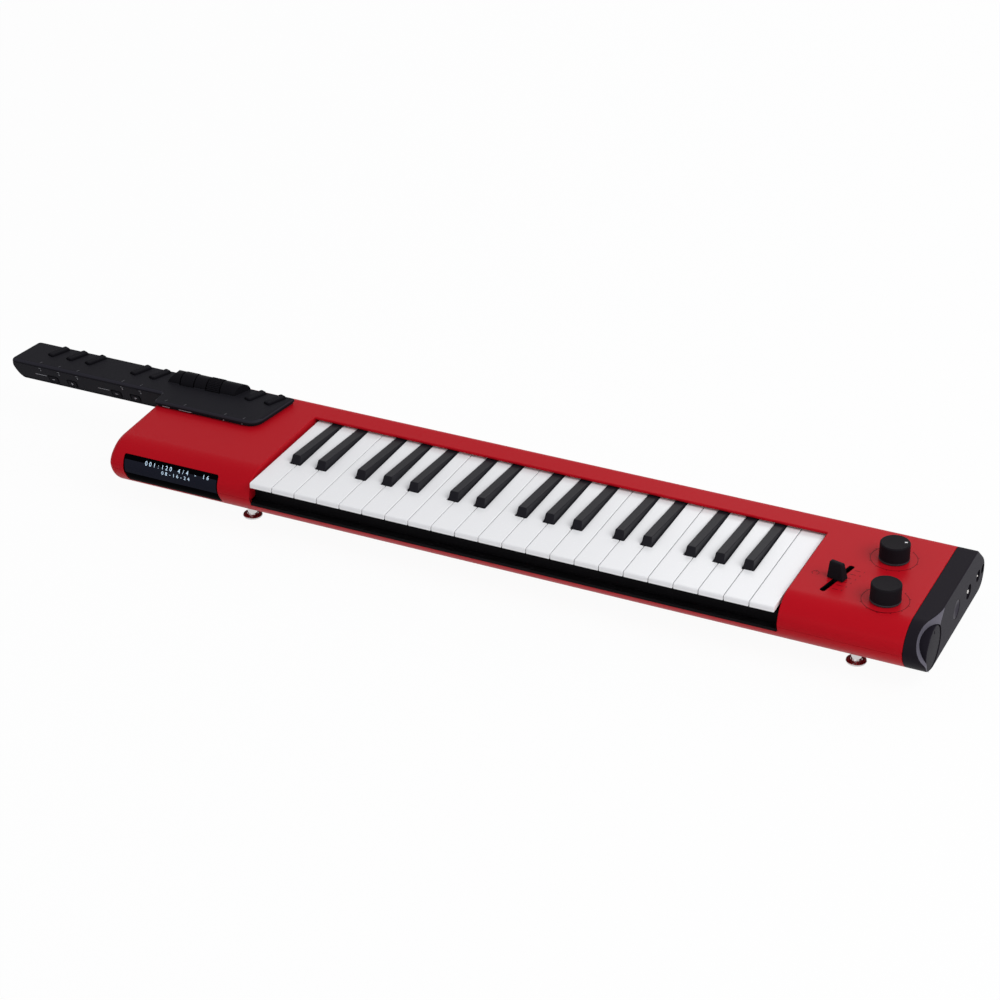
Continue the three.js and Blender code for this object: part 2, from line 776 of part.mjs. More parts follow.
function mainBoard() {
  let board = block(boardLeft, boardRight, boardFrontY, boardRearY, boardZ, boardZ + boardThick);
  const deep = boardZ + boardThick / 2;
  const inner = caseRight - socketDepth - gap;
  for (const socket of [bigSocket, smallSocket]) {
    const half = socketBody / 2;
    board = board.add(block(boardRight - socketBody, inner, socket.y - half, socket.y + half, boardZ,
      socket.z + half));
    board = board.subtract(barAlongX(socket.bore, inner - socketBody, inner + overrun, socket.y, socket.z));
  }
  const potRight = caseRight - capBlockDepth - gap * 2;
  board = board.add(block(potRight - socketBody, potRight, dialY - socketBody / 2, dialY + socketBody / 2, deep,
    dialZ + socketBody / 2));
  board = board.subtract(barAlongX(shaftRadius + shaftClear, potRight - socketBody + ribWall, potRight + overrun,
    dialY, dialZ));
  for (const share of [0.35, 0.55, 0.75]) {
    const y = boardFrontY + (boardRearY - boardFrontY) * share;
    board = board.add(block(boardLeft + chipSize, boardLeft + chipSize * 2, y, y + chipSize * share, deep,
      boardZ + boardThick + chipHeight));
  }
  return board;
}

addPiece('main_board', mainBoard(), [boardGreen, 0.5, 0]);

// Neck

const faceTopZ = neckTop - neckEdge;
const faceBottomZ = armBottom + armHeel;
const faceLean = Math.atan2(armLean, faceTopZ - faceBottomZ);

// How far back the leaning front of the neck is at a height.
function faceY(z) {
  return armFrontY + armLean * (faceTopZ - z) / (faceTopZ - faceBottomZ);
}

// The neck section in Y and Z, with its leaning front and its rounded rear heel.
function armSection(inset) {
  const top = neckTop - inset;
  const bottom = armBottom + inset;
  const frontInset = inset / Math.cos(faceLean);
  const frontTop = faceY(top - neckEdge) + frontInset;
  const frontBottom = faceY(bottom + armHeel) + frontInset;
  const rear = armRearY - inset;
  return polygon([
    [frontTop, top - neckEdge], [frontTop + neckEdge, top], [rear - neckEdge, top], [rear, top - neckEdge],
    [rear, bottom + armRearHeel], [rear - armRearHeel * 0.3, bottom + armRearHeel * 0.3],
    [rear - armRearHeel, bottom], [frontBottom + armHeel, bottom], [frontBottom, bottom + armHeel],
  ]);
}

// The neck seen from above: a slightly slanted tip with round corners.
function armPlan(inset, rootX) {
  const tip = armTipX + inset;
  const front = armFrontY + inset;
  const rear = armRearY - inset;
  const round = neckEdge * 2;
  return polygon([
    [rootX, front], [rootX, rear], [tip + armTipSkew + round, rear], [tip + armTipSkew, rear - round],
    [tip, front + round], [tip + round / 3, front + round / 3], [tip + round, front],
  ]);
}

// The neck seen from the front: the tip curves away below.
function armSide(inset, rootX) {
  const tip = armTipX + inset;
  const top = neckTop - inset;
  const bottom = armBottom + inset;
  const shape = new THREE.Shape();
  shape.moveTo(rootX, bottom);
  shape.lineTo(rootX, top);
  shape.lineTo(tip + neckEdge / 2, top);
  shape.lineTo(tip, top - neckEdge);
  shape.quadraticCurveTo(tip + neckEdge, bottom + neckEdge, tip + armTipUnder, bottom);
  return shape;
}

function armBody(inset, rootX) {
  const section = prismX(armSection(inset), armTipX - overrun, rootX);
  const plan = prismZ(armPlan(inset, rootX), armBottom - overrun, neckTop + overrun);
  const side = prismY(armSide(inset, rootX), armFrontY - overrun, armRearY + overrun);
  return section.intersect(plan).intersect(side);
}

// The wide plate over the case, from above.
function platePlan(inset) {
  const left = caseLeft + inset;
  const front = plateFrontY + inset;
  const rear = armRearY - inset;
  const right = plateRightFrontX - inset;
  const shape = new THREE.Shape();
  shape.moveTo(left, rear);
  shape.lineTo(left, front + plateLeftCorner);
  shape.lineTo(left + plateLeftCorner, front);
  shape.lineTo(right - plateCorner, front);
  shape.quadraticCurveTo(right - plateCorner * 0.15, front, right, front + plateCorner * 0.75);
  shape.lineTo(plateRightRearX - inset, rear);
  return shape;
}

// A slanted bar outline at a distance from its rocker's middle.
function barPlan(offset, centreX, margin) {
  return roundedPlan(barLength + 2 * margin, barWidth + 2 * margin, barCorner + margin,
    centreX + offset, barY, -barTilt);
}

const barOffsets = Object.values(barPairs).flatMap((x) => [x - barPitch / 2, x + barPitch / 2]);

const hump = barAlongX(humpRadius, humpLeft, humpRight + overrun, humpY, humpZ, roundSteps)
  .intersect(prismY(polygon([
    [humpLeft, caseTop + gap], [humpLeft, neckTop], [humpLeft + humpRamp, humpZ + humpRadius],
    [humpRight + overrun, humpZ + humpRadius], [humpRight + overrun, caseTop + gap],
  ]), humpY - humpRadius * 2, humpY + humpRadius * 2))
  .intersect(prismZ(polygon([
    [humpLeft - overrun, humpY - humpRadius * 2], [humpLeft - overrun, humpY + humpRadius * 2],
    [humpRight + humpRadius * 2 * Math.tan(barTilt), humpY + humpRadius * 2],
    [humpRight - humpRadius * 2 * Math.tan(barTilt), humpY - humpRadius * 2],
  ]), caseTop - overrun, neckTop + humpRadius));

// Bearing blocks beside the rollers, reaching down into the case
function bearing(x0, x1) {
  return block(x0, x1, humpY - humpRadius * 0.7, humpY + humpRadius * 0.7, humpZ - bearingDrop, neckTop - gap);
}

function rollerSlot(left) {
  const reach = humpRadius + rollerProud + gap;
  return block(left, left + rollerWidth, humpY - reach, humpY + reach, armBottom, neckTop + humpRadius);
}

const faceButtonY = faceY(faceButtonZ);

// Moves a solid drawn in face axes (x along the neck, y up the face, z out of it) onto the face.
function ontoFace(geometry, x) {
  geometry.rotateX(Math.PI / 2 + faceLean);
  geometry.translate(x, faceButtonY, faceButtonZ);
  return geometry;
}

function faceButtonHole(x) {
  const geometry = new THREE.BoxGeometry(faceButtonWidth + gap * 2, faceButtonHeight + gap * 2, wall * 4);
  return solid(ontoFace(geometry, x));
}

function neckShells() {
  const root = caseLeft - gap;
  const insideRoot = humpLeft;
  const arm = armBody(0, root).subtract(armBody(wall, root + overrun));
  const lipFront = faceY(armBottom) + wall * 2;
  const lipRear = armRearY - wall - armRearHeel - gap * 2;
  const lip = block(armTipX + armTipUnder * 2, root - armTipUnder, lipFront, lipRear,
    armBottom + wall / 2, armSeamZ + armLip);
  const lower = arm.intersect(block(armTipX - overrun, caseRight, noseY, rearY, armBottom - overrun, armSeamZ))
    .add(lip.subtract(block(armTipX, root, lipFront + ribWall, lipRear - ribWall,
      armBottom + wall, armSeamZ + overrun)));

  const plate = prismZ(platePlan(0), caseTop + gap, neckTop + neckEdge, neckEdge)
    .intersect(block(caseLeft - overrun, caseRight, noseY, rearY, caseTop + gap, neckTop));
  const plateHollow = prismZ(platePlan(wall), caseTop - overrun, neckTop - wall);
  const passage = block(insideRoot, caseLeft + wall * 2, humpY - humpRadius * 0.8, humpY + humpRadius * 0.8,
    armSeamZ, neckTop - wall);
  let upper = arm.subtract(block(armTipX - overrun, caseRight, noseY, rearY, armBottom - overrun, armSeamZ + gap));
  upper = upper.add(plate.subtract(plateHollow)).subtract(passage);
  upper = upper.add(hump);
  const pitchRight = pitchLeft + rollerWidth;
  const modulationRight = modulationLeft + rollerWidth;
  upper = upper.add(bearing(pitchLeft - axleReach - ribWall, pitchLeft));
  upper = upper.add(bearing(pitchRight, modulationLeft));
  upper = upper.add(bearing(modulationRight, modulationRight + axleReach + ribWall * 3));
  for (const left of [pitchLeft, modulationLeft]) {
    upper = upper.subtract(rollerSlot(left));
    upper = upper.subtract(barAlongX(axleRadius + gap, left - axleReach - gap, left + rollerWidth + axleReach + gap,
      humpY, humpZ));
  }
  for (const x of [...barOffsets, singleBarX]) {
    upper = upper.subtract(prismZ(barPlan(0, x, barClear), neckTop - barWell, neckTop + overrun));
  }
  for (const x of Object.values(facePairs)) {
    upper = upper.subtract(faceButtonHole(x - faceButtonPitch / 2)).subtract(faceButtonHole(x + faceButtonPitch / 2));
  }
  return { upper, lower };
}

const neck = neckShells();
addPiece('neck_upper_shell', neck.upper, satinBlack);
addPiece('neck_lower_shell', neck.lower, satinBlack);

// Bars: rounded ribs on a keeper plate under the shell. A pair rocks on a ridge between its bars.

function barRib(offset, z0) {
  return prismZ(barPlan(offset, 0, 0), z0, neckTop + barRise + keyBevel, keyBevel * 2)
    .intersect(block(-barPitch * 2, barPitch * 2, barY - barLength, barY + barLength, z0 + keyBevel * 2,
      neckTop + barRise));
}

function keeperPlan(halfWidth) {
  const front = -barLength / 2;
  const rear = barLength / 2 - keeperShort;
  const lean = Math.tan(barTilt);
  return polygon([
    [front * lean - halfWidth, barY + front], [front * lean + halfWidth, barY + front],
    [rear * lean + halfWidth, barY + rear], [rear * lean - halfWidth, barY + rear],
  ]);
}

const shellUnder = neckTop - wall;

for (const [name, x] of Object.entries(barPairs)) {
  const top = shellUnder - keeperGap;
  const keeper = prismZ(keeperPlan(barPitch / 2 + barWidth / 2 + keeperMargin), top - keeperThick, top);
  const ridge = prismZ(keeperPlan(keeperThick), top - keeperThick / 2, shellUnder - gap);
  const body = keeper.add(ridge).add(barRib(-barPitch / 2, top - keyBevel * 4)).add(barRib(barPitch / 2, top - keyBevel * 4));
  addPiece(name, body, rubberBlack, [x, 0, 0]);
}

const singleTop = shellUnder - gap;
const singleKeeper = prismZ(keeperPlan(barWidth / 2 + keeperMargin), singleTop - keeperThick, singleTop);
addPiece('neck_bar_3', singleKeeper.add(barRib(0, singleTop - keyBevel * 4)), rubberBlack, [singleBarX, 0, 0]);

// Rollers, each with an axle stub at both sides

function roller(ridged) {
  let wheel;
  if (ridged) {
    const points = [];
    for (let step = 0; step < ridgeCount * 2; step += 1) {
      const radius = humpRadius + rollerProud - (step % 2) * ridgeDepth;
      const angle = step / ridgeCount * Math.PI;
      points.push([radius * Math.cos(angle), radius * Math.sin(angle)]);
    }
    wheel = prismX(polygon(points), rollerClear, rollerWidth - rollerClear);
  } else {
    wheel = barAlongX(humpRadius + rollerProud, rollerClear, rollerWidth - rollerClear, 0, 0, roundSteps);
  }
  return wheel.add(barAlongX(axleRadius, -axleReach, rollerWidth + axleReach, 0, 0));
}

addPiece('pitch_roller', roller(false), rubberBlack, [pitchLeft, humpY, humpZ]);
addPiece('modulation_roller', roller(true), rubberBlack, [modulationLeft, humpY, humpZ]);

// Minus and plus buttons: two caps on one rocker behind the neck front

function faceRocker() {
  const capDepth = wall + keeperGap + keeperThick / 2 + faceButtonProud;
  const half = faceButtonPitch / 2;
  let body = null;
  for (const side of [-1, 1]) {
    const cap = new THREE.BoxGeometry(faceButtonWidth, faceButtonHeight, capDepth);
    cap.translate(side * half, 0, faceButtonProud - capDepth / 2);
    body = body ? body.add(solid(cap)) : solid(cap);
  }
  const plate = new THREE.BoxGeometry(faceButtonPitch + faceButtonWidth + keeperMargin, faceButtonHeight, keeperThick);
  plate.translate(0, 0, -wall - keeperGap - keeperThick / 2);
  const ridge = new THREE.BoxGeometry(keeperThick * 2, faceButtonHeight, keeperGap + keeperThick / 2 - gap);
  ridge.translate(0, 0, -wall - gap - (keeperGap + keeperThick / 2 - gap) / 2);
  return body.add(solid(plate)).add(solid(ridge));
}

const rockerBody = faceRocker();
for (const [name, x] of Object.entries(facePairs)) {
  const piece = addPiece(name, rockerBody, rubberBlack, [x, faceButtonY, faceButtonZ]);
  piece.rotation.x = Math.PI / 2 + faceLean;
}

// Stand the instrument on Z = 0 with its middle over the origin.
group.updateMatrixWorld(true);
const bounds = new THREE.Box3().setFromObject(group, true);
group.position.set(-(bounds.min.x + bounds.max.x) / 2, -(bounds.min.y + bounds.max.y) / 2, -bounds.min.z);

export default group;
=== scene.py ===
from math import atan2, cos, pi, radians, sin, tan

import bmesh
import bpy
from mathutils import Matrix, Vector


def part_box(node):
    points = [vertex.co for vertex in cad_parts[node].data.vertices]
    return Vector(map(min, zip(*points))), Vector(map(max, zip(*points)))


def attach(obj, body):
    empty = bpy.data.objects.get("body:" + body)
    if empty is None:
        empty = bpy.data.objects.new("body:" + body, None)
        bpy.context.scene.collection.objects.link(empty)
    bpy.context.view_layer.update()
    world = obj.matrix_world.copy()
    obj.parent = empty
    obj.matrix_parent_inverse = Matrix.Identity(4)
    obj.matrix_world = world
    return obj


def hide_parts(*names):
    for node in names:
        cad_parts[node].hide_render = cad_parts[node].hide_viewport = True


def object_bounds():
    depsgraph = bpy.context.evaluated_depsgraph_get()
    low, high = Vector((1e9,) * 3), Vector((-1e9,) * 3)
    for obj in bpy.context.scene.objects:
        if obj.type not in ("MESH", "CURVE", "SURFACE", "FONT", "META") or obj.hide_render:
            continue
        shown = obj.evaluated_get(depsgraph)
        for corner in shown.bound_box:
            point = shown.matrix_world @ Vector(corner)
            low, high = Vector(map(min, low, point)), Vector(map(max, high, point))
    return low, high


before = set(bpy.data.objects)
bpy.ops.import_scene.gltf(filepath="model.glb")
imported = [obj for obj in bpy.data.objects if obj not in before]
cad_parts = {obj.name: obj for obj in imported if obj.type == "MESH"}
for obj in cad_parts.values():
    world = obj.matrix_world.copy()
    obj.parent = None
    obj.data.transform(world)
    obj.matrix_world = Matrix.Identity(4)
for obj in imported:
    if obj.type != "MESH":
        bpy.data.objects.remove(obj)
cad_low, cad_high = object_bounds()
scene = bpy.context.scene

# Lengths below are millimetres in the keyboard's own axes: X = 0 at the left of the first white key,
# Y = 0 at the key fronts and Z = 0 at the top of the white keys.
WHITE_COUNT = 22
WHITE_PITCH = 19.7
WHITE_GAP = 0.7
KEYBOARD = WHITE_COUNT * WHITE_PITCH
first_low, first_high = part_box("white_key_01")
ORIGIN = Vector((first_low[0] - WHITE_GAP / 2000, first_low[1], first_high[2]))
TO_WORLD = Matrix.Translation(ORIGIN) @ Matrix.Scale(0.001, 4)
BODY = "case"


def add_object(name, data):
    item = bpy.data.objects.new(name, data)
    scene.collection.objects.link(item)
    return item


# Camera, solved from the photograph
CAMERA_LENS = 97.84
SENSOR_WIDTH = 36
CAMERA_PLACE = (958.04, -1583.68, 1039.25)
CAMERA_AXES = (
    (0.905885, -0.209160, 0.368271),
    (0.423519, 0.451218, -0.785515),
    (-0.001873, 0.867557, 0.497335),
)
camera_data = bpy.data.cameras.new("camera")
camera_data.lens = CAMERA_LENS
camera_data.sensor_width = SENSOR_WIDTH
camera_data.clip_start = 0.05
camera_data.clip_end = 60
camera = add_object("camera", camera_data)
camera_place = Matrix.Translation(TO_WORLD @ Vector(CAMERA_PLACE))
camera.matrix_world = camera_place @ Matrix(CAMERA_AXES).to_4x4()
scene.camera = camera

# Sizes of the case
CASE_LEFT = -130.4
CAP_SEAM = 529.3
CAP_LEFT = 529.6
CASE_RIGHT = 545.4
CASE_TOP = 4.0
CASE_BOTTOM = -38.0
WALL = 2.3
NOSE_Y = 1.6
NOSE_Z = -13.6
TOP_ROLL_Y = 24.0
UNDER_ROLL_Y = 28.0
# Guide points of the curve from the nose to the flat underside
UNDER_LEAN = 0.4
UNDER_PULL_Z = -22.0
UNDER_CORNER_Y = 12.0
UNDER_FLAT_Y = 30.0
REAR_EDGE_Y = 132.5
REAR_EDGE_SOFT = 3.5
REAR_SLOPE = (149.0, -10.0)
REAR_Y = 156.0
REAR_BULGE_Z = -22.0
REAR_HEEL_Y = 142.0
SEAM_Z = -17.4
SEAM_GAP = 0.15
OPENING_LEFT = -1.6
OPENING_RIGHT = KEYBOARD + 1.6
OPENING_CORNER = 0.8
RIM_Y = 110.7
LEDGE_Z = -22.3
FLOOR_Z = -48.0
DISPLAY = (-116.5, -30.9, -29.0, -3.7)
DISPLAY_CORNER = 1.4
DISPLAY_GAP = 0.3
SHAFT_HOLE = 3.4
NECK_OPENING = (-128, -82, 104, 124)
SCREWS = [(x, y) for x in (-100, 20, 140, 300, 420, 505) for y in (46, 112)]
SCREW_HOLE = 3.2
REAR_FEET_X = (-80, KEYBOARD + 66.6)
REAR_FEET_Y = 128
REAR_FOOT_RADIUS = 8
BAY_CENTRE = (215, 82)
BAY_SIZE = (48, 110)
REBATE_SIZE = (54, 116)
COVER_GAP = 0.3
# Rounding of the left end: at the rear, what the front has more, what the underside has less of that
END_ROUND = 1.2
END_ROUND_FRONT = 5.3
END_ROUND_UNDER = 2.5
# Reach of a cutting block past what it cuts
FAR = 40.0


# Shapes

def arc(centre_u, centre_v, radius_u, radius_v, start, end, steps):
    points = []
    for i in range(steps + 1):
        a = radians(start + (end - start) * i / steps)
        points.append((centre_u + radius_u * cos(a), centre_v + radius_v * sin(a)))
    return points


def bend(start, corner, end, steps):
    """Curve that leaves for the corner and arrives from it."""
    points = []
    for i in range(steps + 1):
        t = i / steps
        points.append(tuple((1 - t) ** 2 * a + 2 * t * (1 - t) * b + t * t * c
                            for a, b, c in zip(start, corner, end)))
    return points


def sweep(start, first, second, end, steps):
    """Curve that leaves for the first guide point and arrives from the second."""
    points = []
    for i in range(steps + 1):
        t = i / steps
        shares = ((1 - t) ** 3, 3 * t * (1 - t) ** 2, 3 * t * t * (1 - t), t ** 3)
        corners = (start, first, second, end)
        points.append(tuple(sum(k * p[axis] for k, p in zip(shares, corners)) for axis in (0, 1)))
    return points


def case_outline(inset=0.0, steps=22):
    """Section of the case as (y, z) points, that far inside the full one."""
    top = CASE_TOP - inset
    bottom = CASE_BOTTOM + inset
    front = NOSE_Y + inset
    rear = REAR_Y - inset
    slope = (REAR_SLOPE[0] - inset, REAR_SLOPE[1])
    edge = (REAR_EDGE_Y, top)
    run = (Vector(slope) - Vector(edge)).normalized() * REAR_EDGE_SOFT
    points = bend(tuple(Vector(edge) + run), edge, (edge[0] - REAR_EDGE_SOFT, top), 5)
    points += arc(TOP_ROLL_Y, NOSE_Z, TOP_ROLL_Y - front, top - NOSE_Z, 90, 180, steps)
    points += sweep((front, NOSE_Z), (front + UNDER_LEAN, UNDER_PULL_Z), (UNDER_CORNER_Y, bottom),
                    (UNDER_FLAT_Y, bottom), steps)[1:]
    points += bend((REAR_HEEL_Y, bottom), (rear, bottom), (rear, REAR_BULGE_Z), 12)
    points += bend((rear, REAR_BULGE_Z), (rear, (REAR_BULGE_Z + REAR_SLOPE[1]) / 2), slope, 6)[1:]
    return points


def rounded_plan(length, width, corner, centre, turn, steps=5):
    points = []
    for side_u, side_v, quarter in ((1, 1, 0), (-1, 1, 1), (-1, -1, 2), (1, -1, 3)):
        for i in range(steps + 1):
            a = (quarter + i / steps) * pi / 2
            u = side_u * (width / 2 - corner) + corner * cos(a)
            v = side_v * (length / 2 - corner) + corner * sin(a)
            points.append((centre[0] + u * cos(turn) - v * sin(turn),
                           centre[1] + u * sin(turn) + v * cos(turn)))
    return points


def close_sections(bm, rows):
    """Join a row of four-cornered sections into one solid."""
    for near, far in zip(rows, rows[1:]):
        for k in range(4):
            bm.faces.new((near[k], far[k], far[(k + 1) % 4], near[(k + 1) % 4]))
    bm.faces.new(rows[0])
    bm.faces.new(rows[-1])
    return new_object("solid", bm)


def new_object(name, bm):
    bmesh.ops.recalc_face_normals(bm, faces=bm.faces)
    mesh = bpy.data.meshes.new(name)
    bm.to_mesh(mesh)
    bm.free()
    return add_object(name, mesh)


def prism(points, axis, low, high):
    bm = bmesh.new()
    rings = []
    for h in (low, high):
        places = {"X": lambda u, v: (h, u, v), "Y": lambda u, v: (u, h, v), "Z": lambda u, v: (u, v, h)}
        rings.append([bm.verts.new(places[axis](u, v)) for u, v in points])
    for ring in rings:
        bm.faces.new(ring)
    for i in range(len(points)):
        j = (i + 1) % len(points)
        bm.faces.new((rings[0][i], rings[0][j], rings[1][j], rings[1][i]))
    return new_object("solid", bm)


def block(x0, x1, y0, y1, z0, z1):
    return prism([(x0, y0), (x1, y0), (x1, y1), (x0, y1)], "Z", z0, z1)


def lathe(profile, steps, matrix=Matrix()):
    """Turn a (radius, height) profile about Z."""
    bm = bmesh.new()
    turns = [2 * pi * i / steps for i in range(steps)]
    rings = []
    for radius, height in profile:
        if radius == 0:
            rings.append([bm.verts.new((0, 0, height))] * steps)
        else:
            rings.append([bm.verts.new((radius * cos(t), radius * sin(t), height)) for t in turns])
    for a, b in zip(rings, rings[1:]):
        for i in range(steps):
            j = (i + 1) % steps
            corners = []
            for v in (a[i], a[j], b[j], b[i]):
                if v not in corners:
                    corners.append(v)
            bm.faces.new(corners)
    bm.transform(matrix)
    return new_object("solid", bm)


def at(x, y, z=0):
    return Matrix.Translation((x, y, z))


def along_x(x, y, z):
    return at(x, y, z) @ Matrix.Rotation(pi / 2, 4, "Y")


def rod(radius, matrix, low, high, steps=48):
    return lathe([(0, low), (radius, low), (radius, high), (0, high)], steps, matrix)


def bake(piece):
    graph = bpy.context.evaluated_depsgraph_get()
    mesh = bpy.data.meshes.new_from_object(piece.evaluated_get(graph))
    piece.modifiers.clear()
    piece.data = mesh


def carve(piece, tool, operation="DIFFERENCE"):
    modifier = piece.modifiers.new("carve", "BOOLEAN")
    modifier.operation = operation
    modifier.solver = "EXACT"
    modifier.object = tool
    bake(piece)
    bpy.data.objects.remove(tool)


def weld(piece, tool):
    carve(piece, tool, "UNION")


def keep(piece, tool):
    """Keep only what the piece and the tool share."""
    carve(piece, tool, "INTERSECT")


def edge_share(vertex):
    """Share of the full rounding that a case edge gets at one point."""
    place = vertex.co
    if abs(place.z - SEAM_Z) < SEAM_GAP + 0.05:
        return 0.1
    beside_keys = OPENING_LEFT - 1 < place.x < OPENING_RIGHT + 1 and place.z > NOSE_Z
    return 1.0 if beside_keys else 0.5


def soften(piece, width, segments=2, degrees=35, fine=None):
    modifier = piece.modifiers.new("soften", "BEVEL")
    modifier.width = width
    modifier.segments = segments
    modifier.limit_method = "ANGLE"
    modifier.angle_limit = radians(degrees)
    if fine:
        bm = bmesh.new()
        bm.from_mesh(piece.data)
        layers = bm.edges.layers.float
        weight = layers.get("bevel_weight_edge") or layers.new("bevel_weight_edge")
        for edge in bm.edges:
            if edge.calc_face_angle(0) > modifier.angle_limit:
                edge[weight] = min(fine(v) for v in edge.verts)
        bm.to_mesh(piece.data)
        bm.free()
        modifier.limit_method = "WEIGHT"
    modifier.use_clamp_overlap = False
    modifier.miter_outer = "MITER_ARC"
    bake(piece)
    return piece


def round_edges(piece, chosen, width, segments):
    """Round the edges whose two ends are both at a chosen place."""
    bm = bmesh.new()
    bm.from_mesh(piece.data)
    edges = [e for e in bm.edges if all(chosen(v.co) for v in e.verts)]
    bmesh.ops.bevel(bm, geom=edges, offset=width, segments=segments, profile=0.5, affect="EDGES")
    bm.to_mesh(piece.data)
    bm.free()
    return piece


def join(pieces):
    bm = bmesh.new()
    for piece in pieces:
        bm.from_mesh(piece.data)
        bpy.data.objects.remove(piece)
    mesh = bpy.data.meshes.new("joined")
    bm.to_mesh(mesh)
    bm.free()
    return add_object("joined", mesh)


def settle(name, piece, material, body, slot, *nodes, sharp=32, extras=(), zone=None):
    """Move a finished shape into the shared frame, give it its look and tie it to its body."""
    piece.name = name
    piece.data.name = name
    piece.data.transform(TO_WORLD)
    piece.data.shade_smooth()
    piece.data.set_sharp_from_angle(angle=radians(sharp))
    modifier = piece.modifiers.new("normals", "WEIGHTED_NORMAL")
    modifier.keep_sharp = True
    bake(piece)
    piece.data.materials.clear()
    piece.data.materials.append(material)
    if extras:
        to_local = TO_WORLD.inverted()
        for extra in extras:
            piece.data.materials.append(extra)
        for face in piece.data.polygons:
            face.material_index = int(zone(to_local @ face.center, face.normal))
    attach(piece, body)
    if nodes:
        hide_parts(*nodes)


# Materials

def add_node(tree, kind, **values):
    node = tree.nodes.new("ShaderNode" + kind)
    for name, value in values.items():
        node.inputs[name.replace("_", " ")].default_value = value
    return node


def connect(tree, *links):
    """Each link is a node with its output, and a node with its input."""
    for source, output, target, socket in links:
        tree.links.new(source.outputs[output], target.inputs[socket])


def surface(name, colour, roughness, grain=2000, depth=0.00003, mottle=0.1, spread=0.05, metallic=0.0,
            specular=0.5):
    """A broad mottle in the colour, and a fine grain in the roughness and the relief."""
    material = bpy.data.materials.new(name)
    material.use_nodes = True
    tree = material.node_tree
    shader = tree.nodes["Principled BSDF"]
    shader.inputs["Metallic"].default_value = metallic
    shader.inputs["Specular IOR Level"].default_value = specular
    place = add_node(tree, "TexCoord")
    fine = add_node(tree, "TexNoise", Scale=grain, Detail=3)
    broad = add_node(tree, "TexNoise", Scale=18, Detail=2)
    tint = add_node(tree, "Mix")
    tint.data_type = "RGBA"
    tint.inputs["A"].default_value = (*[c * (1 - mottle) for c in colour], 1)
    tint.inputs["B"].default_value = (*[min(c * (1 + mottle), 1) for c in colour], 1)
    rough = add_node(tree, "MapRange", To_Min=roughness - spread, To_Max=roughness + spread)
    bump = add_node(tree, "Bump", Strength=0.5, Distance=depth)
    connect(tree, (place, "Object", fine, "Vector"), (place, "Object", broad, "Vector"),
            (broad, "Fac", tint, "Factor"), (tint, "Result", shader, "Base Color"),
            (fine, "Fac", rough, "Value"), (rough, "Result", shader, "Roughness"),
            (fine, "Fac", bump, "Height"), (bump, "Normal", shader, "Normal"))
    return material


red = surface("red_shell", (0.45, 0.005, 0.012), roughness=0.36, grain=1400, depth=0.000012, mottle=0.03,
              spread=0.04, specular=0.04)
neck_black = surface("neck_plastic", (0.0125, 0.012, 0.0152), roughness=0.48, grain=1600, depth=0.00004,
                     mottle=0.08, spread=0.06, specular=0.018)
# Lighter copy of the neck plastic for the rounded front edge: a painted highlight
neck_edge_painted_highlight = surface("neck_edge_painted_highlight", (0.023, 0.022, 0.029), roughness=0.4, grain=1600, mottle=0.08, spread=0.06,
                    specular=0.04)
CAP_GRAIN = {"grain": 1500, "mottle": 0.06}
cap_black = surface("cap_plastic", (0.0135, 0.0115, 0.0155), roughness=0.42, specular=0.014, **CAP_GRAIN)
# Lit copy of the cap plastic for the flat end face: painted light, lighter and bluer where the face catches
# the key light
cap_face_painted_light = surface("cap_face_painted_light", (0.0172, 0.0152, 0.0218), roughness=0.42, specular=0.014, **CAP_GRAIN)
# Far lighter copy of the cap plastic for the scoop's floor: painted light where the floor faces the key
# light
cap_painted_sheen = surface("cap_painted_sheen", (0.115, 0.108, 0.135), roughness=0.4, specular=0.05, **CAP_GRAIN)
dial_black = surface("dial_plastic", (0.0136, 0.0119, 0.017), roughness=0.4, specular=0.014, **CAP_GRAIN)
glass_black = surface("display_glass", (0.0012, 0.0012, 0.0018), roughness=0.12, grain=300, depth=0.000002,
                      spread=0.02, specular=0.0008)
screen_grey = surface("screen_band", (0.013, 0.014, 0.022), roughness=0.2, grain=300, depth=0.000002,
                      specular=0.004)
ivory = surface("white_key", (0.86, 0.86, 0.865), roughness=0.26, grain=700, depth=0.000004, mottle=0.01,
                spread=0.04, specular=0.25)
ebony = surface("black_key", (0.0105, 0.01, 0.0135), roughness=0.34, grain=2600, depth=0.00006, mottle=0.12,
                spread=0.08, specular=0.06)
rubber = surface("knob_rubber", (0.0105, 0.009, 0.0112), roughness=0.42, grain=2200, depth=0.00004,
                 spread=0.06, specular=0.016)
rim_grey = surface("knob_rim", (0.035, 0.031, 0.036), roughness=0.45, grain=2200, specular=0.1)
bar_rubber = surface("bar_rubber", (0.0085, 0.008, 0.0105), roughness=0.5, grain=3200, depth=0.0001,
                     spread=0.06, specular=0.014)
roller_black = surface("roller_plastic", (0.0075, 0.007, 0.009), roughness=0.42, depth=0.00004,
                       specular=0.02)
chassis_black = surface("chassis_plastic", (0.004, 0.0035, 0.0042), roughness=0.6, grain=1200, spread=0.06,
                        specular=0.05)
chrome = surface("chrome", (0.62, 0.6, 0.6), roughness=0.1, grain=500, depth=0.000003, mottle=0.04,
                 spread=0.03, metallic=1.0)
nickel = surface("socket_metal", (0.66, 0.64, 0.62), roughness=0.24, grain=900, depth=0.00001, mottle=0.05,
                 metallic=1.0)
bore_black = surface("socket_bore", (0.004, 0.004, 0.005), roughness=0.5, grain=900, depth=0.00001,
                     specular=0.05)
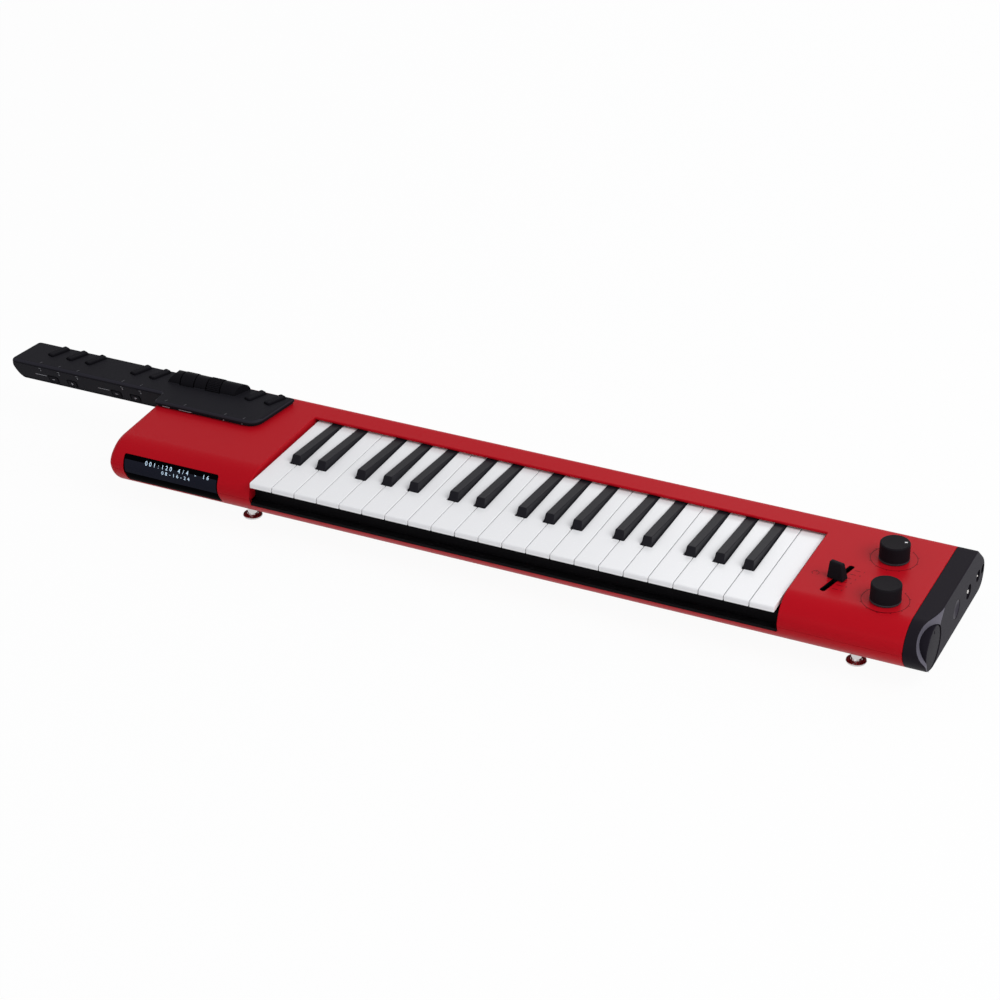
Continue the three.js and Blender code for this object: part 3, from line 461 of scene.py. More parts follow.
# Lighter copy of the cap plastic for the dimple's bowl: painted light where the hollow catches the lamps
dimple_painted_sheen = surface("dimple_painted_sheen", (0.034, 0.03, 0.042), roughness=0.3, grain=900, depth=0.00001,
                       specular=0.05)
board = surface("board_lacquer", (0.014, 0.1, 0.035), roughness=0.35, grain=400, mottle=0.3, spread=0.08)
dark_print = surface("dark_print", (0.05, 0.002, 0.004), roughness=0.5, depth=0.00001, specular=0.05)
pale_print = surface("pale_print", (0.45, 0.45, 0.48), roughness=0.55, depth=0.00001, specular=0.05)
faint_print = surface("faint_print", (0.13, 0.13, 0.145), roughness=0.55, depth=0.00001, specular=0.1)
white_print = surface("white_print", (0.8, 0.8, 0.8), roughness=0.5, depth=0.00001, mottle=0.05,
                      specular=0.1)


def glowing(name, colour, strength):
    material = surface(name, colour, roughness=0.4, grain=1500, depth=0.000005)
    shader = material.node_tree.nodes["Principled BSDF"]
    shader.inputs["Emission Color"].default_value = (*colour, 1)
    shader.inputs["Emission Strength"].default_value = strength
    return material


screen_text = glowing("screen_text", (0.5, 0.66, 0.8), 0.55)


# Case

def end_radius(y, z):
    """Rounding of the left end at one point: full near the front, least from y = 70 to the rear."""
    along = min(max((70 - y) / 50, 0), 1)
    under = min(max((-2 - z) / 12, 0), 1)
    return END_ROUND + (END_ROUND_FRONT - END_ROUND_UNDER * under) * along


def outer_case(steps=7):
    full = case_outline()
    inner = case_outline(1.0)
    bm = bmesh.new()
    rings = [[bm.verts.new((CASE_RIGHT, *point)) for point in full]]
    for k in range(steps + 1):
        t = k / steps * pi / 2
        ring = []
        for point, inside in zip(full, inner):
            radius = end_radius(*point)
            inset = radius * (1 - cos(t))
            ring.append(bm.verts.new((CASE_LEFT + radius * (1 - sin(t)),
                                      point[0] + (inside[0] - point[0]) * inset,
                                      point[1] + (inside[1] - point[1]) * inset)))
        rings.append(ring)
    bm.faces.new(rings[0])
    bm.faces.new(rings[-1])
    for a, b in zip(rings, rings[1:]):
        for i in range(len(full)):
            j = (i + 1) % len(full)
            bm.faces.new((a[i], a[j], b[j], b[i]))
    return new_object("solid", bm)


def display_tool(clearance):
    x0, x1, z0, z1 = DISPLAY
    plan = rounded_plan(z1 - z0 + 2 * clearance, x1 - x0 + 2 * clearance, DISPLAY_CORNER + clearance,
                        ((x0 + x1) / 2, (z0 + z1) / 2), 0)
    return prism(plan, "Y", NOSE_Y - FAR, TOP_ROLL_Y)


SLOT_CENTRE = (463.0, 51.1)
SLOT_SIZE = (43.0, 4.2)
SLOT_CORNER = 1.6
SLOT_TURN = -radians(13)
KNOBS = {"rear_knob": (492.1, 95.0), "front_knob": (504.2, 37.1)}


def upper_case():
    shell = outer_case()
    for x0, x1 in ((CASE_LEFT + WALL, OPENING_LEFT - WALL), (OPENING_LEFT, OPENING_RIGHT),
                   (OPENING_RIGHT + WALL, CAP_SEAM + FAR)):
        carve(shell, prism(case_outline(WALL), "X", x0, x1))
    keep(shell, block(CASE_LEFT - FAR, CAP_SEAM, -FAR, REAR_Y + FAR, SEAM_Z, CASE_TOP + FAR))
    opening = rounded_plan(RIM_Y + FAR, OPENING_RIGHT - OPENING_LEFT, OPENING_CORNER,
                           ((OPENING_LEFT + OPENING_RIGHT) / 2, (RIM_Y - FAR) / 2), 0)
    carve(shell, prism(opening, "Z", SEAM_Z - FAR, CASE_TOP + FAR))
    carve(shell, display_tool(DISPLAY_GAP))
    for x, y in KNOBS.values():
        carve(shell, rod(SHAFT_HOLE, at(x, y), -FAR, FAR))
    carve(shell, prism(rounded_plan(*SLOT_SIZE, SLOT_CORNER, SLOT_CENTRE, SLOT_TURN), "Z", -5, FAR))
    carve(shell, block(*NECK_OPENING, -6, FAR))
    return soften(shell, 0.9, 4, fine=edge_share)


# The walls of the lever slot in the red shell take the near-black chassis plastic as painted shade
def in_slot(centre, normal):
    run = Vector((centre.x - SLOT_CENTRE[0], centre.y - SLOT_CENTRE[1]))
    run.rotate(Matrix.Rotation(-SLOT_TURN, 2))
    near = abs(run.x) < SLOT_SIZE[1] / 2 + 0.2 and abs(run.y) < SLOT_SIZE[0] / 2 + 0.2
    return near and normal.z < 0.6


settle("upper_case_shell", upper_case(), red, BODY, "case_red", "upper_case",
       extras=[chassis_black], zone=in_slot)


def lower_case():
    shell = outer_case()
    carve(shell, prism(case_outline(WALL), "X", CASE_LEFT + WALL, CAP_SEAM + FAR))
    keep(shell, block(CASE_LEFT - FAR, CAP_SEAM, -FAR, REAR_Y + FAR, CASE_BOTTOM - FAR, SEAM_Z - SEAM_GAP))
    carve(shell, block(OPENING_LEFT, OPENING_RIGHT, -FAR, UNDER_ROLL_Y, LEDGE_Z, 0))
    carve(shell, display_tool(DISPLAY_GAP))
    for x in REAR_FEET_X:
        foot = at(x, REAR_FEET_Y)
        weld(shell, rod(REAR_FOOT_RADIUS, foot, CASE_BOTTOM + 1, FLOOR_Z, 64))
    bay = rounded_plan(*BAY_SIZE, 1.5, BAY_CENTRE, 0)
    rebate = rounded_plan(*REBATE_SIZE, 3, BAY_CENTRE, 0)
    carve(shell, prism(bay, "Z", CASE_BOTTOM - FAR, CASE_BOTTOM + 10))
    carve(shell, prism(rebate, "Z", CASE_BOTTOM - FAR, CASE_BOTTOM + 0.8))
    for x, y in SCREWS:
        carve(shell, rod(SCREW_HOLE, at(x, y), CASE_BOTTOM - 5, CASE_BOTTOM + 1.4, 32))
    return soften(shell, 0.8, 2, fine=edge_share)


settle("lower_case_shell", lower_case(), red, BODY, "case_red", "lower_case")

SCREW_HEAD = [(0, 1.5), (2.7, 1.5), (2.7, 0.7), (2.2, 0.3), (0.9, 0.3), (0.6, 1.1), (0, 1.1)]
screws = [lathe(SCREW_HEAD, 28, at(x, y, CASE_BOTTOM)) for x, y in SCREWS]
settle("case_screws", join(screws), chrome, BODY, "pin_chrome")


def battery_cover():
    x, y = BAY_CENTRE
    plate = rounded_plan(*[length - 2 * COVER_GAP for length in REBATE_SIZE], 2.8, BAY_CENTRE, 0)
    plug = rounded_plan(*[length - 2 * COVER_GAP for length in BAY_SIZE], 1.4, BAY_CENTRE, 0)
    thumb_rest = rounded_plan(14, 26, 3, (x, y + 21), 0)
    cover = prism(plate, "Z", CASE_BOTTOM, CASE_BOTTOM + 0.5)
    weld(cover, prism(plug, "Z", CASE_BOTTOM + 0.2, CASE_BOTTOM + 1.6))
    carve(cover, prism(thumb_rest, "Z", CASE_BOTTOM - 3, CASE_BOTTOM + 0.9))
    for i in range(7):
        left = x - 35 + i * 11
        carve(cover, block(left, left + 4, y - 20, y - 18, CASE_BOTTOM - 1, CASE_BOTTOM + 0.4))
    return soften(cover, 0.15, 2)


settle("battery_cover_panel", battery_cover(), red, "battery_cover", "case_red", "battery_cover")


# Display

WINDOW_INSET = 0.2
WINDOW_BACK = 1.8
BAND_LOW = -18.6
BAND_HEIGHT = 11.6
BAND_STEPS = 16
front_outlines = {}


def front_y(z, inset):
    """Y of the case's front at one height, that far inside its outline."""
    if inset not in front_outlines:
        front_outlines[inset] = [p for p in case_outline(inset, 40) if p[0] <= UNDER_ROLL_Y]
    outline = front_outlines[inset]
    for (y0, z0), (y1, z1) in zip(outline, outline[1:]):
        if z1 <= z <= z0:
            return y0 + (y1 - y0) * (z0 - z) / (z0 - z1)
    return NOSE_Y + inset


def display_window():
    window = prism(case_outline(WINDOW_INSET, 40), "X", DISPLAY[0], DISPLAY[1])
    carve(window, prism(case_outline(WINDOW_BACK, 40), "X", DISPLAY[0] - 5, DISPLAY[1] + 5))
    keep(window, display_tool(0))
    return soften(window, 0.35, 3)


settle("display_glass", display_window(), glass_black, BODY, "display_gloss", "display_window", sharp=40)


def figures(text, size):
    curve = bpy.data.curves.new("figures", "FONT")
    curve.body = text
    curve.size = size
    curve.align_x = "CENTER"
    curve.align_y = "CENTER"
    curve.resolution_u = 3
    holder = add_object("figures", curve)
    graph = bpy.context.evaluated_depsgraph_get()
    mesh = bpy.data.meshes.new_from_object(holder.evaluated_get(graph))
    bpy.data.objects.remove(holder)
    return add_object("figures", mesh)


def on_display(piece, x, z, inset=0.04):
    """Bend flat figures round the display's curve."""
    for v in piece.data.vertices:
        height = z + v.co.y
        v.co = (x + v.co.x, front_y(height, inset), height)
    return piece


def screen_band():
    x0, x1 = DISPLAY[0] + 1.0, DISPLAY[1] - 0.6
    heights = [BAND_LOW + BAND_HEIGHT * i / BAND_STEPS for i in range(BAND_STEPS + 1)]
    outline = [(front_y(z, 0.14), z) for z in heights]
    outline += [(front_y(z, 0.6), z) for z in reversed(heights)]
    return prism(outline, "X", x0, x1)


settle("screen_band", screen_band(), screen_grey, BODY, "display_gloss", sharp=40)

# Text, size, pitch, middle X and Z of each row of figures
SCREEN_ROWS = (("001:120 4/4 - 16", 4.4, 3.75, -67.6, -7.0), ("08-16-24", 4.0, 3.4, -68.4, -11.3))
cells = []
for text, size, pitch, x, z in SCREEN_ROWS:
    for i, figure in enumerate(text):
        if figure != " ":
            cells.append(on_display(figures(figure, size), x + (i - (len(text) - 1) / 2) * pitch, z))
settle("screen_figures", join(cells), screen_text, BODY, "key_white")


# Keys

BLACK_PLACES = (0.911, 2.058, 3.835, 5.0, 6.166)
BLACK_FRONT = 41.5
BLACK_WIDTH = 8.8
BLACK_TOP_WIDTH = 6.6
BLACK_TOP = 6.5
BLACK_SHOULDER = 1.1
BLACK_GAP = 0.6
KEY_REAR = 126.0
KEY_ROUND = 1.3
LIP = 4.6


def white_key(n):
    left = (n % 7) * WHITE_PITCH
    half = BLACK_WIDTH / 2 + BLACK_GAP
    left_cut = right_cut = 0
    for share in BLACK_PLACES:
        middle = share * WHITE_PITCH
        if n < WHITE_COUNT - 1 and left + WHITE_PITCH / 2 < middle < left + WHITE_PITCH * 1.5:
            right_cut = left + WHITE_PITCH - WHITE_GAP / 2 - (middle - half)
        if left - WHITE_PITCH / 2 < middle < left + WHITE_PITCH / 2:
            left_cut = middle + half - left - WHITE_GAP / 2
    x0 = WHITE_GAP / 2 + n * WHITE_PITCH
    x1 = x0 + WHITE_PITCH - WHITE_GAP
    notch = BLACK_FRONT - BLACK_GAP
    plan = [(x0, 0), (x1, 0)]
    plan += [(x1, notch), (x1 - right_cut, notch)] if right_cut > 0 else []
    plan += [(x1 - max(right_cut, 0), KEY_REAR), (x0 + max(left_cut, 0), KEY_REAR)]
    plan += [(x0 + left_cut, notch), (x0, notch)] if left_cut > 0 else []
    key = prism(plan, "Z", -LIP, 0)
    side = [(0, -LIP - 1)] + arc(KEY_ROUND, -KEY_ROUND, KEY_ROUND, KEY_ROUND, 180, 90, 5)
    side += [(KEY_REAR + 1, 0), (KEY_REAR + 1, -LIP - 1)]
    keep(key, prism(side, "X", x0 - 1, x1 + 1))
    return soften(key, 0.5, 3)


for n in range(WHITE_COUNT):
    node = f"white_key_{n + 1:02d}"
    settle(node + "_top", white_key(n), ivory, node, "key_white", node, sharp=50)


def black_key(x):
    half = BLACK_WIDTH / 2
    top_half = BLACK_TOP_WIDTH / 2
    section = [(-half, -LIP), (half, -LIP), (half, 0.2), (half - 0.4, BLACK_SHOULDER),
               (top_half + 0.12, BLACK_TOP), (-top_half - 0.12, BLACK_TOP), (0.4 - half, BLACK_SHOULDER),
               (-half, 0.2)]
    side = [(BLACK_FRONT, -LIP), (KEY_REAR, -LIP), (KEY_REAR, -0.02), (BLACK_FRONT + 3.0, BLACK_TOP),
            (BLACK_FRONT + 0.7, BLACK_SHOULDER + 0.1), (BLACK_FRONT, 0.2)]
    key = prism([(x + u, v) for u, v in section], "Y", BLACK_FRONT - 5, KEY_REAR + 5)
    keep(key, prism(side, "X", x - 10, x + 10))
    return soften(key, 0.7, 4, 24)


black_middles = [(octave * 7 + share) * WHITE_PITCH for octave in range(3) for share in BLACK_PLACES]
for number, middle in enumerate(black_middles, 1):
    node = f"black_key_{number:02d}"
    settle(node + "_top", black_key(middle), ebony, node, "key_black", node, sharp=50)


# End cap

DIAL = (26.6, -19.8)
DIAL_RADIUS = 17
DIAL_THICKNESS = 7.2
POCKET_RADIUS = 17.5
# Y, Z, radius and bore of each socket
SOCKETS = ((114.3, -21.7, 5.8, 3.2), (138.6, -21.4, 4.6, 1.8))
SIDE_HOLE = (150.6, -21.8)
SIDE_HOLE_RADIUS = 3.7
SIDE_HOLE_DEPTH = 3.0
DIMPLE = (83, -19.4)
DIMPLE_RADIUS = 8
DIMPLE_DEPTH = 2.0
PORT_SIZE = (6, 8.5)
PORT_Z = -14.5
CAP_ROUND = 1.2
SCOOP_TOP_Y = 47.0
SCOOP_DEPTH = 7.5
SCOOP_SKEW = 1.35
SCOOP_START = atan2(CASE_TOP - DIAL[1], SCOOP_TOP_Y - DIAL[0])
SCOOP_END = radians(192)
SCOOP_STEPS = 64
# Angle round the dial where the painted light on the scoop's floor ends
PAINTED_LIGHT_END = radians(242)


def scoop_floor(share):
    """X of the scoop's floor, from its start at the case top (0) to its end under the dial (1)."""
    return CASE_RIGHT - SCOOP_DEPTH * sin(pi * share ** SCOOP_SKEW)


def scoop_section(bm, a, corners):
    """Four points at one angle round the dial, from their distance to its axis and their X."""
    return [bm.verts.new((x, DIAL[0] + r * cos(a), DIAL[1] + r * sin(a))) for r, x in corners]


def scoop_tool():
    bm = bmesh.new()
    rows = []
    for i in range(SCOOP_STEPS + 1):
        share = i / SCOOP_STEPS
        a = SCOOP_START + (SCOOP_END - SCOOP_START) * share
        floor = scoop_floor(share)
        corners = ((POCKET_RADIUS / 2, floor), (REAR_Y, floor), (REAR_Y, CASE_RIGHT + FAR),
                   (POCKET_RADIUS / 2, CASE_RIGHT + FAR))
        rows.append(scoop_section(bm, a, corners))
    return close_sections(bm, rows)


def bowl_curve(shares, lift=0.0):
    return [(DIMPLE_RADIUS * s, lift - DIMPLE_DEPTH * (1 - s * s)) for s in shares]


def cap_share(vertex):
    """No rounding on the thin edges of the scoop, where it would make spikes."""
    place = vertex.co
    return 0.0 if CAP_LEFT + 1 < place.x < CASE_RIGHT - 0.1 and place.y < 50 else 1.0


def end_cap():
    cap = round_edges(outer_case(), lambda p: abs(p.x - CASE_RIGHT) < 0.01, CAP_ROUND, 4)
    keep(cap, block(CAP_LEFT, CASE_RIGHT + FAR, -FAR, REAR_Y + FAR, CASE_BOTTOM - FAR, CASE_TOP + FAR))
    hollow = prism(case_outline(WALL), "X", CAP_LEFT - 5, CASE_RIGHT - WALL)
    carve(hollow, block(CAP_LEFT, CASE_RIGHT, -FAR, 54, CASE_BOTTOM - 1, CASE_TOP + 1))
    carve(cap, hollow)
    for y, z, radius, bore in SOCKETS:
        weld(cap, rod(radius + 1.6, along_x(0, y, z), CASE_RIGHT - 6, CASE_RIGHT - 1))
    carve(cap, scoop_tool())
    for y, z, radius, bore in SOCKETS:
        carve(cap, rod(radius, along_x(0, y, z), CASE_RIGHT - 9, CASE_RIGHT + 5))
    carve(cap, rod(SIDE_HOLE_RADIUS, along_x(0, *SIDE_HOLE), CASE_RIGHT - SIDE_HOLE_DEPTH, CASE_RIGHT + 5))
    carve(cap, rod(POCKET_RADIUS, along_x(0, *DIAL), CASE_RIGHT - 10, CASE_RIGHT + 5, 96))
    bowl = bowl_curve((0.0, 0.2, 0.4, 0.6, 0.8, 0.92))
    bowl += [(DIMPLE_RADIUS + 0.15, 0.05), (DIMPLE_RADIUS + 0.15, 5), (0, 5)]
    carve(cap, lathe(bowl, 64, along_x(CASE_RIGHT, *DIMPLE)))
    port = rounded_plan(*PORT_SIZE, 1.2, (CASE_RIGHT - 3 - PORT_SIZE[1] / 2, PORT_Z), 0)
    carve(cap, prism(port, "Y", REAR_Y - 9, REAR_Y + FAR))
    soften(cap, 0.3, 2, 34, fine=cap_share)
    for v in cap.data.vertices:
        v.co.x = min(v.co.x, CASE_RIGHT)
    return cap


# The flat end face takes the lit copy of the cap plastic, as painted light
def cap_zone(centre, normal):
    return normal.x > 0.95 and centre.x > CASE_RIGHT - 0.3


settle("end_cap_shell", end_cap(), cap_black, BODY, "cap_black", "end_cap", sharp=28,
       extras=[cap_face_painted_light], zone=cap_zone)


def rim_reach(angle, inset):
    """Distance from the dial's axis to the case outline, that far inside it."""
    reach = REAR_Y
    outline = case_outline(inset, 40)
    run = Vector((cos(angle), sin(angle)))
    for a, b in zip(outline, outline[1:] + outline[:1]):
        start = Vector(a) - Vector(DIAL)
        side = Vector(b) - Vector(a)
        cross = run.x * side.y - run.y * side.x
        if abs(cross) > 1e-9:
            along = (start.x * side.y - start.y * side.x) / cross
            share = (start.x * run.y - start.y * run.x) / cross
            if along > 0 and 0 <= share <= 1:
                reach = min(reach, along)
    return reach


def scoop_lining(steps=150):
    """Thin sheet of painted light on the scoop's floor, which tapers off round the dial pocket."""
    bm = bmesh.new()
    rows = []
    for i in range(steps + 1):
        a = SCOOP_START + (PAINTED_LIGHT_END - SCOOP_START) * i / steps
        share = min((a - SCOOP_START) / (SCOOP_END - SCOOP_START), 1)
        floor = scoop_floor(share)
        outer = rim_reach(a, 0.3 + 0.9 * share)
        if a > SCOOP_END:
            fade = (a - SCOOP_END) / (PAINTED_LIGHT_END - SCOOP_END)
            outer = outer * (1 - fade) ** 2 + (POCKET_RADIUS + 0.7) * (1 - (1 - fade) ** 2)
        outer = max(min(outer, rim_reach(a, 1.0)), POCKET_RADIUS + 0.2)
        corners = ((POCKET_RADIUS, floor + 0.3), (outer, floor + 0.3), (outer, floor - 0.3),
                   (POCKET_RADIUS, floor - 0.3))
        rows.append(scoop_section(bm, a, corners))
    return close_sections(bm, rows)


settle("cap_scoop_painted_light", scoop_lining(), cap_painted_sheen, BODY, "cap_black", sharp=40)

# A lighter bowl sits in the dimple as painted light
BOWL = (0.0, 0.2, 0.4, 0.6, 0.8, 0.9)
bowl = lathe(bowl_curve(BOWL, 0.05) + bowl_curve(reversed(BOWL), -0.15), 64, along_x(CASE_RIGHT, *DIMPLE))
settle("cap_dimple_painted_sheen", bowl, dimple_painted_sheen, BODY, "cap_black")

deep = 0.1 - SIDE_HOLE_DEPTH
thin = SIDE_HOLE_RADIUS - 0.3
well = [(0, deep), (SIDE_HOLE_RADIUS, deep), (SIDE_HOLE_RADIUS, -0.35), (thin, -0.35), (thin, deep + 0.3),
        (0, deep + 0.3)]
settle("cap_side_well", lathe(well, 48, along_x(CASE_RIGHT, *SIDE_HOLE)), bore_black, BODY, "cap_black")

rings = []
tips = []
cores = []
for y, z, radius, bore in SOCKETS:
    profile = [(bore, 0), (bore, 4.6), (bore + 0.35, 5.0), (radius - 0.9, 5.0), (radius - 0.5, 4.6),
               (radius - 0.5, 0), (bore, 0)]
    rings.append(lathe(profile, 48, along_x(CASE_RIGHT - 6.2, y, z)))
    tip = [(0, 0), (bore * 0.4, 0.1), (bore * 0.55, 0.6), (bore * 0.5, 1.2), (bore * 0.3, 1.6), (0, 1.7)]
    tips.append(lathe(tip, 24, along_x(CASE_RIGHT - 2.0, y + bore * 0.1, z - 0.3)))
    cup = [(0, 0), (bore - 0.1, 0), (bore - 0.1, 12), (bore - 0.25, 12), (bore - 0.25, 0.2), (0, 0.2)]
    cores.append(lathe(cup, 48, along_x(CASE_RIGHT - 18.2, y, z)))
settle("socket_rings", join(rings), dial_black, BODY, "cap_black")
settle("socket_contacts", join(tips), nickel, BODY, "pin_chrome")
settle("socket_bores", join(cores), bore_black, BODY, "cap_black")


def volume_dial():
    face = CASE_RIGHT - 0.4
    back = -DIAL_THICKNESS
    profile = [(0, back), (DIAL_RADIUS - 0.5, back), (DIAL_RADIUS, back + 0.5), (DIAL_RADIUS, -0.9),
               (DIAL_RADIUS - 0.25, -0.3), (DIAL_RADIUS - 0.9, 0), (0, 0)]
    disc = lathe(profile, 96, along_x(face, *DIAL))
    weld(disc, rod(3, along_x(0, *DIAL), face - 22, face - 5))
    carve(disc, block(face - 0.5, face + 3, DIAL[0] - 0.8, DIAL[0] + 0.8, DIAL[1] + 11.5, DIAL[1] + 14.5))
    return disc


settle("volume_dial_disc", volume_dial(), dial_black, "volume_dial", "cap_black", "volume_dial")


# Knobs, lever and strap pins

KNOB_BASE = CASE_TOP + 0.3
KNOB_HEIGHT = 13.9
KNOB_RADIUS = 11.4
KNOB_ROUND = 1.2
# Way of the pointer mark across the rear knob, as the photo shows it
MARKER_RUN = (7.26, 2.84)
MARKER_THICKNESS = 0.12
LEVER_HEIGHT = 13.2
PIN_Y = 28.5


def knob(x, y):
    foot = ((-0.2, 0), (0.2, 0.2), (0.3, 0.6), (0.25, 1.2), (0.05, 1.5))
    profile = [(0, 0)] + [(KNOB_RADIUS + u, v) for u, v in foot]
    profile += [(KNOB_RADIUS, KNOB_HEIGHT - KNOB_ROUND)]
    profile += arc(KNOB_RADIUS - KNOB_ROUND, KNOB_HEIGHT - KNOB_ROUND, KNOB_ROUND, KNOB_ROUND, 0, 90, 6)
    profile += [(KNOB_RADIUS - 1.5, KNOB_HEIGHT - 0.02), (KNOB_RADIUS - 1.9, KNOB_HEIGHT - 0.15),
                (0, KNOB_HEIGHT - 0.15)]
    body = lathe(profile, 96, at(x, y, KNOB_BASE))
    weld(body, rod(3, at(x, y), KNOB_BASE - 7, KNOB_BASE + 2))
    return body


for node, (x, y) in KNOBS.items():
    settle(node + "_cap", knob(x, y), rubber, node, "knob_black", node, extras=[rim_grey],
           zone=lambda centre, normal: 0.1 < centre.z - KNOB_BASE < 1.4 and abs(normal.z) < 0.9)

marker_turn = atan2(MARKER_RUN[1], MARKER_RUN[0])
marker = block(6.9, 8.9, -0.65, 0.65, 0, MARKER_THICKNESS)
marker.data.transform(at(*KNOBS["rear_knob"], KNOB_BASE + KNOB_HEIGHT - MARKER_THICKNESS)
                      @ Matrix.Rotation(marker_turn, 4, "Z"))
settle("rear_knob_marker", marker, white_print, "rear_knob", "key_white")


def mode_lever():
    side = [(-7, 0), (7, 0), (4.4, LEVER_HEIGHT), (-6.4, LEVER_HEIGHT)]
    edge = [(-4, 0), (4, 0), (2, LEVER_HEIGHT), (-2, LEVER_HEIGHT)]
    paddle = prism(side, "Y", -9, 9)
    keep(paddle, prism(edge, "X", -10, 10))
    soften(paddle, 1.0, 4, 30)
    stem = block(-1.3, 1.3, -2.5, 2.5, -4, 0.6)
    weld(paddle, stem)
    place = at(*SLOT_CENTRE, KNOB_BASE)
    paddle.data.transform(place @ Matrix.Rotation(SLOT_TURN, 4, "Z"))
    return paddle


settle("mode_lever_paddle", mode_lever(), rubber, "mode_lever", "knob_black", "mode_lever")

PIN_PROFILE = [(0, 0), (6.9, 0), (7.5, 0.25), (7.8, 0.8), (7.8, 1.6), (7.4, 2.0), (4.4, 2.4), (4.05, 2.8),
               (4.0, 3.4), (4.0, 8.6), (4.5, 9.3), (4.8, 9.7), (0, 9.7)]
for node, x in (("strap_pin_left", -15.2), ("strap_pin_right", KEYBOARD + 55.1)):
    pin = lathe(PIN_PROFILE, 72, at(x, PIN_Y, FLOOR_Z))
    settle(node + "_stud", pin, chrome, BODY, "pin_chrome", node)


# Neck

NECK_TOP = 9.3
ARM_TIP = -278.8
ARM_FRONT = 87.5
ARM_REAR = 124.5
ARM_BOTTOM = -12.0
NECK_SEAM = -9.7
RIM_Z = 6.3
RIM_ROUND = 2.4
FACE_RUN = 7.3
FACE_TOP_Z = RIM_Z + 0.4
FACE_BOTTOM_Z = ARM_BOTTOM + 2.6
FACE_LEAN = atan2(FACE_RUN, FACE_TOP_Z - FACE_BOTTOM_Z)
# Height on the sloping front where the rockers sit
FACE_LINE_Z = -5.2
BAR_TURN = -radians(21)
BAR_Y = 113.8
BAR_SIZE = (18.6, 6.6)
BAR_CORNER = 1.6
BAR_DEPTH = 2.4
BAR_RISE = 1.7
BAR_ROUND = 1.0
BAR_WELL_GAP = 0.6
BAR_WELL_DEPTH = 3.6
BUTTON_SIZE = (6.6, 8.6)
BUTTON_CORNER = 1.1
BUTTON_DEPTH = 2.1
BUTTON_RISE = 0.35
BUTTON_ROUND = 0.7
BUTTON_HALF_PITCH = 9.15
RECESS_SIZE = (8.0, 10.0)
RECESS_CORNER = 1.6
RECESS_DEPTH = 3.4
HUMP = (113.9, 8.0)
HUMP_ENDS = (-136.0, -70.4)
HUMP_RADIUS = 8.45
ROLLER_RADIUS = 8.8
ROLLER_CLEAR = 1.0
ROLLERS = {"pitch_roller": -125.4, "modulation_roller": -100.9}
ROLLER_WIDTH = 13.8
RIB_POINTS = 144
RIB_DEPTH = 0.5
BARS = {"neck_bars_1_2": (-247.6, -229.4), "neck_bar_3": (-211.2,), "neck_bars_4_5": (-166.9, -148.7),
        "neck_bars_6_7": (-58.1, -39.9)}
FACE_PAIRS = {"transpose_rocker": -231.5, "octave_rocker": -169.8}


def tip_plan():
    """Rounded tip of the neck, seen from above, from its rear edge to its front edge."""
    tip = ARM_TIP
    plan = bend((tip + 8.4, ARM_REAR), (tip + 4.4, ARM_REAR), (tip + 4.0, ARM_REAR - 3.5), 5)
    return plan + bend((tip + 0.4, ARM_FRONT + 4.4), (tip, ARM_FRONT), (tip + 4.2, ARM_FRONT), 6)


def arm_solid(root):
    rear = ARM_REAR
    section = bend((ARM_FRONT, FACE_TOP_Z), (ARM_FRONT + 0.2, NECK_TOP), (ARM_FRONT + 3, NECK_TOP), 4)
    section += bend((rear - 1.5, NECK_TOP), (rear, NECK_TOP), (rear, NECK_TOP - 1.5), 3)
    section += bend((rear, ARM_BOTTOM + 8), (rear, ARM_BOTTOM), (rear - 8, ARM_BOTTOM), 8)
    section += bend((ARM_FRONT + 10.1, ARM_BOTTOM), (ARM_FRONT + 8, ARM_BOTTOM),
                    (ARM_FRONT + FACE_RUN, FACE_BOTTOM_Z), 4)
    arm = prism(section, "X", ARM_TIP - 5, root)
    tip = ARM_TIP
    plan = [(root, ARM_FRONT - 1), (root, rear + 1), (tip + 8, rear + 1)] + tip_plan()
    plan += [(tip + 5, ARM_FRONT - 1)]
    keep(arm, prism(plan, "Z", ARM_BOTTOM - 5, NECK_TOP + 5))
    side = [(root, ARM_BOTTOM - 1), (root, NECK_TOP + 1), (tip + 0.7, NECK_TOP + 1), (tip + 0.6, NECK_TOP)]
    side += bend((tip, NECK_TOP - 1.2), (tip + 0.9, ARM_BOTTOM + 0.8), (tip + 9.2, ARM_BOTTOM), 14)
    side += [(tip + 10.2, ARM_BOTTOM - 1)]
    keep(arm, prism(side, "Y", ARM_FRONT - 5, rear + 5))
    return arm


PLATE_FRONT = 72.5
PLATE_UNDER = 4.3


def plate_plan(inset):
    left = CASE_LEFT + inset
    front = PLATE_FRONT + inset
    right = -33.5 - inset
    plan = [(left, ARM_REAR - inset)]
    plan += bend((left, front + 4), (left, front), (left + 4, front), 6)
    plan += bend((right - 13, front), (right - 2, front), (right, front + 9.75), 10)
    plan += [(-27.8 - inset, ARM_REAR - inset)]
    return plan


def neck_plan():
    plan = tip_plan()
    plan += bend((CASE_LEFT - 3.5, ARM_FRONT), (CASE_LEFT, ARM_FRONT), (CASE_LEFT, ARM_FRONT - 3.5), 5)
    return plan + plate_plan(0)[1:]


def bar_tool(x, margin, low, high):
    size = [length + 2 * margin for length in BAR_SIZE]
    return prism(rounded_plan(*size, BAR_CORNER + margin, (x, BAR_Y), BAR_TURN, 6), "Z", low, high)


def face_matrix(x):
    """Place on the neck's sloping front, with Z out of it."""
    y = ARM_FRONT + FACE_RUN * (FACE_TOP_Z - FACE_LINE_Z) / (FACE_TOP_Z - FACE_BOTTOM_Z)
    return at(x, y, FACE_LINE_Z) @ Matrix.Rotation(pi / 2 + FACE_LEAN, 4, "X")


